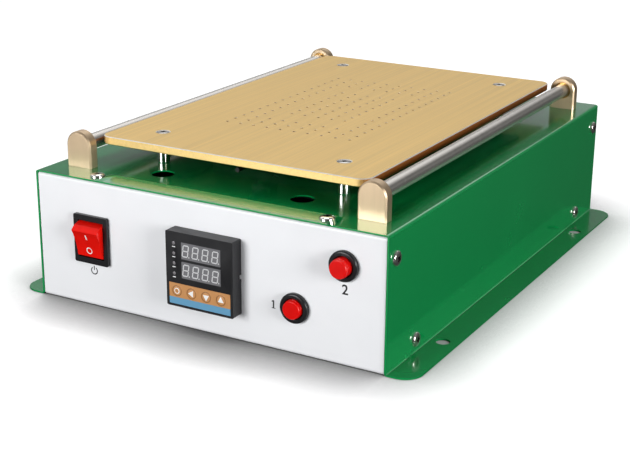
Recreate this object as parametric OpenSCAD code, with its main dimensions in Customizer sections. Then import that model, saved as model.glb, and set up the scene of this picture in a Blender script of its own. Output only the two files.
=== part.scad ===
// LCD screen separator: a heated vacuum plate between two steel rods, on a sheet-steel case.
// The control panel faces -Y, +X is to its right and +Z is up. Sizes are in millimetres.
// The origin is at the middle of the part's footprint, on the table that it stands on.

/* [Case] */
// Width over the side walls
case_w = 252; // [246:1:280]
// Depth from the front edge to the back edge of the cover
case_d = 358; // [350:1:400]
// Height of the cover's top face
case_h = 85; // [82:1:110]
// Sheet thickness of the cover
cover_t = 1; // [0.8:0.1:2]
// Inner radius of the cover's bends
cover_bend = 0.8; // [0.5:0.1:2]
// Width of each foot flange beyond the side wall
flange_w = 18; // [16:0.5:26]
// Corner radius of the foot flanges
flange_r = 12; // [4:0.5:14]
// Diameter of the mounting holes in the flanges
flange_hole_d = 9; // [4:0.1:10]
// From a flange's outer edge to its mounting holes
flange_hole_edge = 9.5; // [8:0.1:11]
// From the ends of a flange to its mounting holes
flange_hole_end = 60; // [30:1:100]
// Diameter of the two cable holes in the top
cable_hole_d = 15; // [8:0.5:16]
// From the side walls to each cable hole
cable_hole_side = 75; // [70:1:84]
// From the front edge to the cable holes
cable_hole_y = 34; // [27:0.5:40]
// Sheet thickness of the chassis tray
tray_t = 1.2; // [1:0.1:1.6]
// How far the front panel sits behind the cover's edge
panel_inset = 0.5; // [0.2:0.1:1.5]

/* [Heated plate] */
// From the case's side walls to the plate's sides
plate_side = 29; // [28:0.5:33]
// From the cover's front and back edges to the plate's ends
plate_end = 29; // [27:0.5:34]
// Thickness of the plate
plate_t = 5.2; // [5:0.1:8]
// Radius of the plate's upright corners
plate_r = 8; // [3:0.5:12]
// Height of the stand-offs under the plate
standoff_h = 14.8; // [14:0.2:20]
// Diameter of the stand-offs
standoff_d = 8; // [6.5:0.1:9]
// From the plate's sides to its screws
plate_screw_side = 30.2; // [17:0.2:33]
// From the plate's ends to its screws
plate_screw_end = 28; // [14:0.5:32]
// Spacing of the vacuum holes across the plate, as a share of its width
hole_x_share = 0.0531; // [0.05:0.0001:0.054]
// Spacing of the vacuum holes along the plate, as a share of its depth
hole_y_share = 0.0343; // [0.032:0.0001:0.035]
// Diameter of the vacuum holes
hole_d = 1.4; // [0.8:0.1:2]

/* [Rods and brackets] */
// Diameter of the rods
rod_d = 10; // [6:0.1:11]
// Width of a rod bracket
bracket_w = 19; // [17:0.5:20]
// Height of a rod bracket
bracket_h = 23.5; // [22:0.5:32]
// Thickness of a rod bracket
bracket_t = 8; // [7:0.5:12]
// From the side walls to the middles of the rods
rod_side = 20.5; // [16:0.5:21]
// From the cover's edges to the outer faces of the brackets
bracket_in = 18; // [17.6:0.2:20]
// Outer diameter of the rod bushes
bush_d = 12.6; // [11.4:0.1:13]

/* [Rocker switch] */
// From the left side wall to the switch's middle
rocker_side = 43.4; // [31:0.2:56]
// From the case's top down to the switch's middle
rocker_down = 39.5; // [35:0.5:49]
// Width of the switch's bezel
rocker_bezel_w = 26.2; // [26:0.1:28]
// Height of the switch's bezel
rocker_bezel_h = 32; // [31:0.1:34]
// How far the bezel stands off the panel
rocker_bezel_t = 2.5; // [1.6:0.1:3]
// Angle that the paddle rocks through
rocker_swing = 34; // [16:1:36]

/* [Temperature controller] */
// From the middle of the panel to the controller's middle
ctrl_x = 4.6; // [-10:0.2:20]
// From the case's top down to the controller's middle
ctrl_down = 43.3; // [39:0.1:49]
// Width and height of the controller's bezel, the 1/16 DIN size
ctrl_w = 48; // [47:0.5:49]
// How far the bezel stands off the panel
ctrl_proud = 9.3; // [6:0.1:12]
// Width and height of the controller's housing behind the panel
ctrl_body_w = 44.6; // [43:0.1:44.8]
// Depth of the controller's housing behind the panel
ctrl_body_d = 84; // [60:1:90]
// Diameter of the round keys
key_d = 7; // [5:0.1:8]
// How far a key can be pressed
key_travel = 0.4; // [0.2:0.1:0.6]

/* [Push buttons] */
// From the right side wall to the upper button
upper_side = 27.8; // [22:0.2:36]
// From the case's top down to the upper button
upper_down = 22.8; // [21:0.2:27]
// From the right side wall to the lower button
lower_side = 60; // [54:0.2:66]
// From the case's top down to the lower button
lower_down = 55.2; // [51:0.2:61]
// Diameter of the buttons' rings
ring_d = 18.8; // [18:0.1:20]
// Height of the rings off the panel
ring_h = 3; // [2:0.1:4]
// Diameter of the buttons' caps
cap_d = 12; // [11:0.1:12.4]
// How far a released cap stands off the panel
cap_proud = 8.5; // [7:0.1:9]
// How much lower a latched cap stands
latch_travel = 2.7; // [1:0.1:3.4]
// Diameter of the buttons' threaded barrels
barrel_d = 15.8; // [15.6:0.1:16.4]

/* [Back panel] */
// From the right side wall to the mains inlet
inlet_side = 48; // [42:1:66]
// From the case's top down to the mains inlet
inlet_down = 43; // [35:1:51]
// From the left side wall to the middle of the vent slots
vent_side = 64; // [56:1:76]
// Length of a vent slot
vent_l = 34; // [20:1:44]
// Width of a vent slot
vent_w = 3; // [2:0.1:3.6]

/* [Fasteners] */
// Diameter of the case, stand-off and bracket screws
screw_d = 4; // [3:0.1:4]
// Head diameter of the case screws
case_head_d = 9.4; // [8:0.1:10]
// Head diameter of the stand-off and bracket screws
head_d = 8; // [7:0.1:8.4]
// Head height of those screws
head_h = 2.6; // [2:0.1:3]
// Diameter of the small screws
small_d = 3; // [2:0.1:3]
// Head diameter of the small screws
small_head_d = 5.4; // [4.4:0.1:5.6]

/* [Vacuum system] */
// Outer diameter of the vacuum hose
hose_d = 8; // [6.6:0.1:9]
// Bore of the vacuum hose
hose_bore = 5; // [4:0.1:5.2]
// From the case's top down to the pump's inlet port
port_down = 40; // [38:1:44]
// Diameter of the pump's motor
motor_d = 50; // [40:1:54]
// Length of the pump's motor
motor_l = 84; // [60:1:92]
// Thickness of the heater mats
heater_t = 1.6; // [1:0.1:2]

/* [Electrics] */
// Width of the power supply
supply_w = 78; // [60:1:80]
// Depth of the power supply
supply_d = 96; // [70:1:98]
// Height of the power supply
supply_h = 36; // [28:1:50]
// Height of the relay's heat sink
sink_h = 24; // [14:1:30]

/* [Hidden] */
$fn = 64;

// Overrun of every cut, and how far fused shapes run into each other
cut = 1;
fuse = 0.1;
// Clearances: between seated pieces, of a running fit, and beside a piece that slides in
seat_gap = 0.05;
run_gap = 0.05;
fit_gap = 0.4;
slide_gap = 0.2;

// Case
cover_bend_out = cover_bend + cover_t;
foot_w = case_w + 2 * flange_w;
cable_hole_x = case_w / 2 - cable_hole_side;
flange_hole_x = foot_w / 2 - flange_hole_edge;
tray_w = case_w - 2 * (cover_t + fit_gap);
tray_h = case_h - cover_t - fit_gap;
tray_d = case_d - 2 * panel_inset;
tray_bend = 0.8;
tray_return = 16;
side_tab_h = 18;
side_tab_l = 18;
front_face = panel_inset;
front_back = front_face + tray_t;
rear_face = case_d - panel_inset;
top_screw_side = 43.5;
top_screw_x = case_w / 2 - top_screw_side;
top_screw_y = 8;
upper_screw_y = 9.5;
upper_screw_down = 16;
upper_screw_z = case_h - upper_screw_down;
lower_screw_y = 38.5;
lower_screw_z = 8.8;
case_screw_grip = cover_t + fit_gap + tray_t;
case_screw_tip = 3.5;
case_screw_l = case_screw_grip + case_screw_tip;
screw_hole_d = screw_d + 2 * slide_gap;
small_head_h = 1.8;
head_crown_share = 0.85;
recess_arm_share = 0.5;
recess_slot_share = 0.13;
recess_depth_share = 0.16;
inlet_proud = 2.2;

// The part is set so that its footprint's middle is at the origin
key_proud = 0.3;
front_proud = max(ctrl_proud - front_face + key_proud, cap_proud - front_face);
back_proud = max(inlet_proud - panel_inset, 0);
front_y = -(case_d + back_proud - front_proud) / 2;

// Heated plate and its vacuum holes
plate_bevel = 0.5;
plate_w = case_w - 2 * plate_side;
plate_d = case_d - 2 * plate_end;
plate_screw_x = plate_w / 2 - plate_screw_side;
plate_screw_y = plate_d / 2 - plate_screw_end;
plate_y = case_d / 2;
plate_z = case_h + standoff_h;
hole_pitch_x = plate_w * hole_x_share;
hole_pitch_y = plate_d * hole_y_share;
hole_cols = 10;
hole_rows = 16;
ring_cols = 2;
ring_rows = 3;
core_cols = 5;
core_rows = 8;
thread_share = 0.4;
csk_head_d = 8.2;
csk_sink = 0.1;
csk_depth = (csk_head_d - screw_hole_d) / 2 + csk_sink + slide_gap;
standoff_thread = standoff_h * thread_share;
standoff_bevel = 0.4;

// Rods and brackets
bracket_bevel = 1;
bracket_x = case_w / 2 - rod_side;
rod_z = case_h + bracket_h - bracket_w / 2;
bush_l = 5.6;
rod_end_gap = 0.3;
rod_bevel = 0.5;
bracket_inner = bracket_in + bracket_t;
rod_l = case_d - 2 * (bracket_inner - bush_l + rod_end_gap);
bracket_screw_x = 4.6;
bracket_thread_share = 0.65;
bracket_thread = (rod_z - case_h - bush_d / 2) * bracket_thread_share;

// Rocker switch, measured from the pivot and the panel's face
rocker_x = rocker_side - case_w / 2;
rocker_z = case_h - rocker_down;
pivot_in = 0.4;
paddle_r = 11.5;
paddle_half = 54;
paddle_sag = 0.9;
paddle_flank = 11.2;
paddle_back = 2.4;
rocker_wall = 1.9;
rocker_d = 22;
rocker_gap = 0.7;
rocker_frame = 3.1;
rocker_end_wall = 1.8;
rocker_open_h = 2 * (paddle_r + rocker_gap);
rocker_open_w = rocker_bezel_w - 2 * rocker_frame;
rocker_neck_w = rocker_open_w + 2 * rocker_wall;
rocker_neck_h = rocker_open_h + 2 * rocker_end_wall;
rocker_cavity_d = 13;
paddle_w = rocker_open_w - 2 * slide_gap;
pin_d = 3;
pin_l = 1.2;
rocker_corner = 1.2;
blade_w = 6.3;
blade_t = 0.8;
blade_l = 8;
blade_x = 5.4;
blade_z = 7.5;

// Controller, measured from the lower left corner of its face
ctrl_corner = 1;
ctrl_z = case_h - ctrl_down;
ctrl_left = ctrl_x - ctrl_w / 2;
ctrl_low = ctrl_z - ctrl_w / 2;
ctrl_front = front_face - ctrl_proud;
window_x = 11.1;
window_w = 28.3;
window_h = 10.8;
window_zs = [31.2, 18.9];
window_t = 0.8;
window_recess = 1;
keypad_x = 1.9;
keypad_z = 1.5;
keypad_w = ctrl_w - 2 * keypad_x;
keypad_h = 13.7;
keypad_t = 0.35;
key_xs = [7.6, 18.2, 28.8, 39.4];
key_z = 10.2;
key_l = 1.6;
key_crown = 0.25;
lamp_x = 5.8;
lamp_zs = [21.2, 27.7, 34.1, 40.6];
lamp_d = 1.8;
lamp_sink = 0.3;
notch_h = 3;
notch_w = 1.2;
notch_d = 2.4;
clamp_wall = 3;
clamp_d = 10;
clamp_gap = 0.1;
rear_cover_d = 8;
terminal_d = 5;
terminal_l = 2;
terminal_sink = 1;
terminal_step = 0.5;
terminal_pitch = 7;
terminal_rows = 6;
terminal_x = 16;

// Push buttons
upper_x = case_w / 2 - upper_side;
upper_z = case_h - upper_down;
lower_x = case_w / 2 - lower_side;
lower_z = case_h - lower_down;
ring_lip = 1.4;
ring_lip_gap = 0.6;
ring_open_d = cap_d + 2 * ring_lip_gap;
ring_round = 1.2;
barrel_l = 18;
cap_bevel = 0.4;
cap_rim = 0.3;
cap_face_d = cap_d - 2 * cap_rim;
cap_step = 2.2;
cap_tail = 9;
cap_l = cap_proud + cap_tail;
button_nut_w = 19;
button_nut_t = 3;
contact_d = 13;
contact_l = 9;
lug_w = 2.8;
lug_t = 0.5;
lug_l = 6;
lug_x = 3.2;

// Mains inlet on the rear wall
inlet_x = case_w / 2 - inlet_side;
inlet_z = case_h - inlet_down;
inlet_flange_w = 49;
inlet_flange_h = 23;
inlet_corner = 3;
inlet_screw_x = 20;
inlet_socket_w = 24.4;
inlet_socket_h = 16.8;
inlet_socket_d = 15.5;
inlet_chamfer = 4;
inlet_wall = 1.4;
inlet_floor = 3;
inlet_pin_w = 2;
inlet_pin_h = 4;
inlet_pin_l = 11;
inlet_pin_x = 7;
inlet_earth_z = 3.6;
inlet_live_z = -1.4;
inlet_tail_l = 8;
inlet_screw_tip = 3;
inlet_box_w = inlet_socket_w + 2 * inlet_wall;
inlet_box_h = inlet_socket_h + 2 * inlet_wall;
inlet_hole_d = small_d + 2 * slide_gap;
inlet_csk = (small_head_d - inlet_hole_d) / 2 + csk_sink + slide_gap;
vent_x = vent_side - case_w / 2;
vent_pitch = 7;
vent_count = 9;

// Vacuum chamber, heater and probe under the plate
chamber_rim = 6;
chamber_margin = 8.5;
chamber_floor = 2.5;
chamber_pocket = 3.5;
chamber_w = (hole_cols - 1) * hole_pitch_x + 2 * chamber_margin;
chamber_d = (hole_rows - 1) * hole_pitch_y + 2 * chamber_margin;
chamber_r = 4;
chamber_pocket_r = 3;
chamber_z = plate_z - chamber_pocket - chamber_floor;
chamber_thread = 3.6;
chamber_screw_in = 3;
spigot_wall = 0.9;
spigot_d = hose_bore - 2 * seat_gap;
heater_in = 3;
heater_out = 6;
heater_r = 3;
heater_end = 42;
probe_end = 40;
probe_tip = 6;
probe_y = plate_d / 2 - probe_end;
probe_d = 4.8;
probe_l = 26;
probe_lead_d = 3;
probe_lead_l = 16;
probe_x = 5.6;
clip_in = 3.6;
clip_wall = 1.6;
clip_l = 10;
clip_h = 7;

// Hose, grommet and pump
port_z = case_h - port_down;
hose_bend = 32;
hose_gap = 0.3;
hose_run_y = 6;
hose_back = 26;
hose_y = plate_y - hose_back;
hose_top = chamber_z - hose_gap;
hose_end_y = hose_y + hose_bend + hose_run_y;
grommet_wall = 2;
grommet_lip = 2;
grommet_lip_t = 1.2;
grommet_d = hose_d + 2 * seat_gap + 2 * grommet_wall;
spigot_len = 7;
head_w = 58;
head_l = 26;
head_tall = 56;
head_cover_t = 10;
head_corner = 6;
head_face_y = hose_end_y + hose_gap;
pump_x = 0;
pump_lift = 9;
pump_axis_z = motor_d / 2 + pump_lift;
motor_cap_l = 6;
motor_cap_shares = [0.8, 0.5];
shaft_d = 5;
cradle_t = 1.6;
cradle_w = 66;
cradle_wall = 3;
cradle_share = 0.6;
cradle_l = motor_l * cradle_share;
cradle_top_share = 0.2;
foot_d = 12;
foot_h = 5;
foot_in = 8;
foot_bore = 4.4;

// Relay, power supply and earth stud
relay_side = 42;
relay_x = relay_side - case_w / 2;
relay_y = 116;
relay_w = 45;
relay_d = 58;
relay_h = 23;
relay_corner = 3;
sink_w = 52;
sink_d = 66;
sink_base = 5;
sink_fins = 9;
sink_fin_t = 1.6;
supply_side = 54;
supply_x = case_w / 2 - supply_side;
supply_y = 94;
supply_wall = 1.2;
supply_slots = 8;
supply_slot_w = 2.4;
supply_slot_share = 0.5;
supply_slot_pitch = 6;
supply_tab = 8;
earth_x = 42;
earth_back = 37.5;
earth_y = rear_face - earth_back;
earth_l = 14;
earth_nut_w = 7;
earth_nut_t = 3.2;

// A rectangle with round corners, about the origin
module round_rect(w, h, r) {
    square([w - 2 * r, h], center = true);
    square([w, h - 2 * r], center = true);
    for (x = [-1, 1], y = [-1, 1]) translate([x * (w / 2 - r), y * (h / 2 - r)]) circle(r);
}

// An upright slot with round ends, about the origin
module upright_slot(w, l) {
    square([w, l - w], center = true);
    for (z = [-1, 1]) translate([0, z * (l - w) / 2]) circle(d = w);
}

// Draws an outline given in X and Z and runs it back along Y for a length
module along_y(l) {
    translate([0, l, 0]) rotate([90, 0, 0]) linear_extrude(l) children();
}

// Draws an outline given in Y and Z and runs it across X, about the middle
module across_x(w) {
    rotate([90, 0, 90]) linear_extrude(w, center = true) children();
}

// Moves what is drawn from the cover's front edge to the part's own frame
module in_case() {
    translate([0, front_y, 0]) children();
}

// Copies to both sides of the case's middle plane
module both_sides() {
    children();
    mirror([1, 0, 0]) children();
}

// Copies to the front and the back of the case
module both_ends() {
    children();
    translate([0, case_d, 0]) mirror([0, 1, 0]) children();
}

// A cross recess for a screw head, cut down from z = 0
module cross_recess(d) {
    arm = d * recess_arm_share;
    slot = d * recess_slot_share;
    deep = d * recess_depth_share;
    for (a = [0, 90]) rotate([0, 0, a])
        translate([-arm / 2, -slot / 2, -deep]) cube([arm, slot, deep + cut]);
}

// A pan-head screw: its head stands on z = 0 and its shank runs down for a length
module pan_screw(d, hd, hh, l) {
    crown = hd * head_crown_share;
    difference() {
        intersection() {
            cylinder(h = hh, d = hd);
            translate([0, 0, hh - crown]) sphere(crown);
        }
        translate([0, 0, hh]) cross_recess(hd);
    }
    translate([0, 0, -l]) cylinder(h = l + fuse, d = d - 2 * seat_gap);
}

// A countersunk screw: the top of its head is at z = 0
module csk_screw(d, hd, l) {
    shank = d - 2 * seat_gap;
    cone = (hd - shank) / 2;
    difference() {
        union() {
            translate([0, 0, -cone]) cylinder(h = cone, d1 = shank, d2 = hd);
            translate([0, 0, -l]) cylinder(h = l - cone + fuse, d = shank);
        }
        cross_recess(hd);
    }
}

// The places of the case screws, each with its head outside the cover
module at_case_screws() {
    both_sides() both_ends() {
        translate([top_screw_x, top_screw_y, case_h]) children();
        translate([case_w / 2, upper_screw_y, upper_screw_z]) rotate([0, 90, 0]) children();
        translate([case_w / 2, lower_screw_y, lower_screw_z]) rotate([0, 90, 0]) children();
    }
}

// The places of the stand-offs, at the cover's top face
module at_standoffs() {
    for (x = [-1, 1], y = [-1, 1])
        translate([x * plate_screw_x, plate_y + y * plate_screw_y, case_h]) children();
}

// The places of the bracket screws, at the cover's top face
module at_bracket_screws() {
    both_sides() both_ends() for (x = [-1, 1])
        translate([bracket_x + x * bracket_screw_x, bracket_in + bracket_t / 2, case_h]) children();
}

// The upper part of the cover's section: walls and top, with round bends, down to height z0
module arch_outline(w, h, r, z0) {
    translate([-w / 2, z0]) square([w, h - r - z0]);
    translate([-w / 2 + r, z0]) square([w - 2 * r, h - z0]);
    for (x = [-1, 1]) translate([x * (w / 2 - r), h - r]) circle(r);
}

// The cover's section: a hat with its brims on the table
module cover_section() {
    foot_z = cover_bend_out;
    difference() {
        arch_outline(case_w, case_h, cover_bend_out, foot_z);
        translate([0, -cut]) arch_outline(case_w - 2 * cover_t, case_h - cover_t + cut, cover_bend, foot_z);
    }
    for (s = [0, 1]) mirror([s, 0]) {
        translate([case_w / 2 + cover_bend, foot_z]) intersection() {
            difference() {
                circle(cover_bend_out);
                circle(cover_bend);
            }
            translate([-cover_bend_out, -cover_bend_out]) square(cover_bend_out);
        }
        translate([case_w / 2 + cover_bend, 0]) square([flange_w - cover_bend, cover_t]);
    }
}

module cover() {
    color("forestgreen") in_case() difference() {
        intersection() {
            along_y(case_d) cover_section();
            translate([0, case_d / 2, 0]) linear_extrude(case_h + cut) round_rect(foot_w, case_d, flange_r);
        }
        both_sides() both_ends() translate([flange_hole_x, flange_hole_end, -cut])
            cylinder(h = cover_t + 2 * cut, d = flange_hole_d);
        both_sides() translate([cable_hole_x, cable_hole_y, case_h - cover_t - cut])
            cylinder(h = cover_t + 2 * cut, d = cable_hole_d);
        translate([0, hose_y, case_h - cover_t - cut]) cylinder(h = cover_t + 2 * cut, d = grommet_d);
        at_case_screws() translate([0, 0, -cover_t - cut])
            cylinder(h = cover_t + 2 * cut, d = screw_hole_d);
        at_standoffs() translate([0, 0, -cover_t - cut]) cylinder(h = cover_t + 2 * cut, d = screw_hole_d);
        at_bracket_screws() translate([0, 0, -cover_t - cut])
            cylinder(h = cover_t + 2 * cut, d = screw_hole_d);
    }
}

// The tray's section in Y and Z: floor, front and rear walls, and returns under the cover's top
module tray_section() {
    translate([case_d / 2, tray_h / 2]) difference() {
        round_rect(tray_d, tray_h, tray_bend + tray_t);
        round_rect(tray_d - 2 * tray_t, tray_h - 2 * tray_t, tray_bend);
        translate([-tray_d / 2 + tray_return, 0]) square([tray_d - 2 * tray_return, tray_h]);
    }
}

// The tabs that take the side screws, at the front right corner
module tray_tabs() {
    tab_x = tray_w / 2 - tray_t;
    translate([tab_x, front_face + tray_t / 2, upper_screw_z - side_tab_h / 2])
        cube([tray_t, side_tab_l, side_tab_h]);
    translate([tab_x, lower_screw_y - side_tab_l / 2, tray_t / 2])
        cube([tray_t, side_tab_l, lower_screw_z + side_tab_h / 2]);
}

// The vent slots in the rear wall
module vent_slots() {
    for (i = [0 : vent_count - 1])
        translate([vent_x + (i - (vent_count - 1) / 2) * vent_pitch, rear_face - tray_t - cut, case_h / 2])
            along_y(tray_t + 2 * cut) upright_slot(vent_w, vent_l);
}

module chassis_tray() {
    color("white") in_case() difference() {
        union() {
            across_x(tray_w) tray_section();
            both_sides() both_ends() tray_tabs();
        }
        translate([rocker_x, front_face - cut, rocker_z]) along_y(tray_t + 2 * cut)
            square([rocker_neck_w + 2 * slide_gap, rocker_neck_h + 2 * slide_gap], center = true);
        translate([ctrl_x, front_face - cut, ctrl_z]) along_y(tray_t + 2 * cut)
            square(ctrl_body_w + 2 * slide_gap, center = true);
        at_buttons() translate([0, -cut, 0]) along_y(tray_t + 2 * cut) circle(d = barrel_d + 2 * slide_gap);
        vent_slots();
        at_inlet() translate([0, -tray_t - cut, 0]) along_y(tray_t + 2 * cut) {
            square([inlet_box_w + 2 * slide_gap, inlet_box_h + 2 * slide_gap], center = true);
            for (x = [-1, 1]) translate([x * inlet_screw_x, 0]) circle(d = small_d + 2 * seat_gap);
        }
        at_case_screws() translate([0, 0, -case_screw_grip - cut])
            cylinder(h = tray_t + fit_gap + cut, d = screw_d);
        at_pump_feet() translate([0, 0, -cut]) cylinder(h = tray_t + 2 * cut, d = small_d);
        at_supply_screws() translate([0, 0, -cut]) cylinder(h = tray_t + 2 * cut, d = small_d);
        translate([earth_x, earth_y, -cut]) cylinder(h = tray_t + 2 * cut, d = screw_d);
    }
}

module case_screws() {
    color("silver") in_case() at_case_screws() pan_screw(screw_d, case_head_d, head_h, case_screw_l);
}

// A plate lying on z = 0 with round upright corners and a small bevel round both faces
module bevelled_plate(w, d, t, r, b) {
    for (x = [-1, 1], y = [-1, 1]) translate([x * (w / 2 - r), y * (d / 2 - r), 0]) {
        cylinder(h = b, r1 = r - b, r2 = r);
        translate([0, 0, b]) cylinder(h = t - 2 * b, r = r);
        translate([0, 0, t - b]) cylinder(h = b, r1 = r, r2 = r - b);
    }
    translate([0, r - d / 2, 0]) along_y(d - 2 * r) bevelled_edge(w, t, b);
    across_x(w - 2 * r) bevelled_edge(d, t, b);
}

// The section of such a plate
module bevelled_edge(w, t, b) {
    polygon([[-w / 2 + b, 0], [w / 2 - b, 0], [w / 2, b], [w / 2, t - b],
        [w / 2 - b, t], [-w / 2 + b, t], [-w / 2, t - b], [-w / 2, b]]);
}

// Whether the vacuum grid has a hole at a column and a row of the outer frame
function in_frame(c, r) = r < ring_rows || r >= hole_rows - ring_rows
    || c < ring_cols || c >= hole_cols - ring_cols;

// The place of hole c of m across the plate and r of n along it, about the plate's middle
function grid(c, m, r, n) = [(c - (m - 1) / 2) * hole_pitch_x, (r - (n - 1) / 2) * hole_pitch_y];

// The vacuum holes: a wide frame, and a smaller block of holes in the middle of it
vacuum_holes = concat(
    [for (c = [0 : hole_cols - 1], r = [0 : hole_rows - 1]) if (in_frame(c, r))
        grid(c, hole_cols, r, hole_rows)],
    [for (c = [0 : core_cols - 1], r = [0 : core_rows - 1]) grid(c, core_cols, r, core_rows)]);

module heated_plate() {
    color("burlywood") in_case() translate([0, plate_y, plate_z]) difference() {
        bevelled_plate(plate_w, plate_d, plate_t, plate_r, plate_bevel);
        for (p = vacuum_holes) translate([p.x, p.y, -cut])
            cylinder(h = plate_t + 2 * cut, d = hole_d, $fn = 24);
        for (x = [-1, 1], y = [-1, 1]) translate([x * plate_screw_x, y * plate_screw_y, 0]) {
            translate([0, 0, -cut]) cylinder(h = plate_t + 2 * cut, d = screw_hole_d);
            translate([0, 0, plate_t - csk_depth]) cylinder(h = csk_depth + fuse,
                d1 = screw_hole_d, d2 = screw_hole_d + 2 * (csk_depth + fuse));
        }
        at_chamber_screws() translate([0, 0, -cut]) cylinder(h = chamber_thread + cut, d = small_d);
        translate([0, -probe_y, -cut]) cylinder(h = chamber_thread + cut, d = small_d);
    }
}

module plate_screws() {
    color("silver") in_case() at_standoffs() translate([0, 0, standoff_h + plate_t - csk_sink])
        csk_screw(screw_d, csk_head_d, plate_t + standoff_thread);
}

module standoffs() {
    color("gainsboro") in_case() at_standoffs() difference() {
        union() {
            cylinder(h = standoff_bevel, d1 = standoff_d - 2 * standoff_bevel, d2 = standoff_d);
            translate([0, 0, standoff_bevel]) cylinder(h = standoff_h - 2 * standoff_bevel, d = standoff_d);
            translate([0, 0, standoff_h - standoff_bevel])
                cylinder(h = standoff_bevel, d1 = standoff_d, d2 = standoff_d - 2 * standoff_bevel);
        }
        translate([0, 0, -cut]) cylinder(h = standoff_h + 2 * cut, d = screw_d);
    }
}

module standoff_screws() {
    color("silver") in_case() at_standoffs() translate([0, 0, -cover_t]) mirror([0, 0, 1])
        pan_screw(screw_d, head_d, head_h, cover_t + standoff_thread);
}

// A rod with bevelled ends
module rod() {
    translate([0, bracket_inner - bush_l + rod_end_gap, rod_z]) rotate([-90, 0, 0]) {
        cylinder(h = rod_bevel, d1 = rod_d - 2 * rod_bevel, d2 = rod_d);
        translate([0, 0, rod_bevel]) cylinder(h = rod_l - 2 * rod_bevel, d = rod_d);
        translate([0, 0, rod_l - rod_bevel]) cylinder(h = rod_bevel, d1 = rod_d, d2 = rod_d - 2 * rod_bevel);
    }
}

module rod_left() {
    color("gainsboro") in_case() translate([-bracket_x, 0, 0]) rod();
}

module rod_right() {
    color("gainsboro") in_case() translate([bracket_x, 0, 0]) rod();
}

// A bracket standing on z = 0 with its outer face on y = 0: an arch with bevelled edges
module bracket() {
    axis = bracket_h - bracket_w / 2;
    b = bracket_bevel;
    r = bracket_w / 2;
    difference() {
        union() {
            linear_extrude(axis) polygon([[-r + b, 0], [r - b, 0], [r, b], [r, bracket_t - b],
                [r - b, bracket_t], [-r + b, bracket_t], [-r, bracket_t - b], [-r, b]]);
            translate([0, 0, axis]) rotate([-90, 0, 0]) {
                cylinder(h = b, r1 = r - b, r2 = r);
                translate([0, 0, b]) cylinder(h = bracket_t - 2 * b, r = r);
                translate([0, 0, bracket_t - b]) cylinder(h = b, r1 = r, r2 = r - b);
            }
        }
        translate([0, bracket_t - bush_l, axis]) rotate([-90, 0, 0])
            cylinder(h = bush_l + cut, d = bush_d + 2 * seat_gap);
        for (x = [-1, 1]) translate([x * bracket_screw_x, bracket_t / 2, -cut])
            cylinder(h = bracket_thread + slide_gap + cut, d = screw_d);
    }
}

module rod_brackets() {
    color("tan") in_case() both_sides() both_ends() translate([bracket_x, bracket_in, case_h]) bracket();
}

module rod_bushes() {
    color("darkgoldenrod") in_case() both_sides() both_ends()
        translate([bracket_x, bracket_inner - bush_l, rod_z]) rotate([-90, 0, 0]) difference() {
            cylinder(h = bush_l, d = bush_d);
            translate([0, 0, -cut]) cylinder(h = bush_l + 2 * cut, d = rod_d + 2 * run_gap);
        }
}

module bracket_screws() {
    color("silver") in_case() at_bracket_screws() translate([0, 0, -cover_t]) mirror([0, 0, 1])
        pan_screw(screw_d, head_d, head_h, cover_t + bracket_thread);
}

// Puts the switch in its place, with the panel's face at y = 0
module at_rocker() {
    translate([rocker_x, front_face, rocker_z]) children();
}

module rocker_housing() {
    color("black") in_case() at_rocker() difference() {
        union() {
            translate([0, -rocker_bezel_t, 0]) along_y(rocker_bezel_t)
                round_rect(rocker_bezel_w, rocker_bezel_h, rocker_corner);
            translate([0, -fuse, 0]) along_y(rocker_d + fuse)
                square([rocker_neck_w, rocker_neck_h], center = true);
        }
        translate([0, -rocker_bezel_t - cut, 0]) along_y(rocker_cavity_d + rocker_bezel_t + cut)
            square([rocker_open_w, rocker_open_h], center = true);
        translate([0, pivot_in, 0]) rotate([0, 90, 0])
            cylinder(h = paddle_w + 2 * (pin_l + slide_gap), d = pin_d + 2 * run_gap, center = true);
    }
}

// The paddle's section about its pivot, level: a hollow face and round flanks that clear the bezel
module paddle_section() {
    front = paddle_r * cos(paddle_half);
    half = paddle_r * sin(paddle_half);
    face_r = (half * half + paddle_sag * paddle_sag) / (2 * paddle_sag);
    difference() {
        intersection() {
            circle(paddle_r);
            translate([-front, -paddle_flank]) square([front + paddle_back, 2 * paddle_flank]);
        }
        translate([-front + paddle_sag - face_r, 0]) circle(face_r, $fn = 128);
    }
}

module rocker_paddle() {
    color("red") in_case() at_rocker() translate([0, pivot_in, 0]) rotate([rocker_swing / 2, 0, 0]) {
        across_x(paddle_w) paddle_section();
        rotate([0, 90, 0]) cylinder(h = paddle_w + 2 * pin_l, d = pin_d, center = true);
    }
}

module rocker_terminals() {
    color("goldenrod") in_case() at_rocker() for (x = [-1, 1], z = [-1, 1])
        translate([x * blade_x - blade_t / 2, rocker_d, z * blade_z - blade_w / 2])
            cube([blade_t, blade_l, blade_w]);
}

// Puts the controller in its place: the lower left corner of its face, with y = 0 on the face
module at_controller_face() {
    translate([ctrl_left, ctrl_front, ctrl_low]) children();
}

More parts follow.
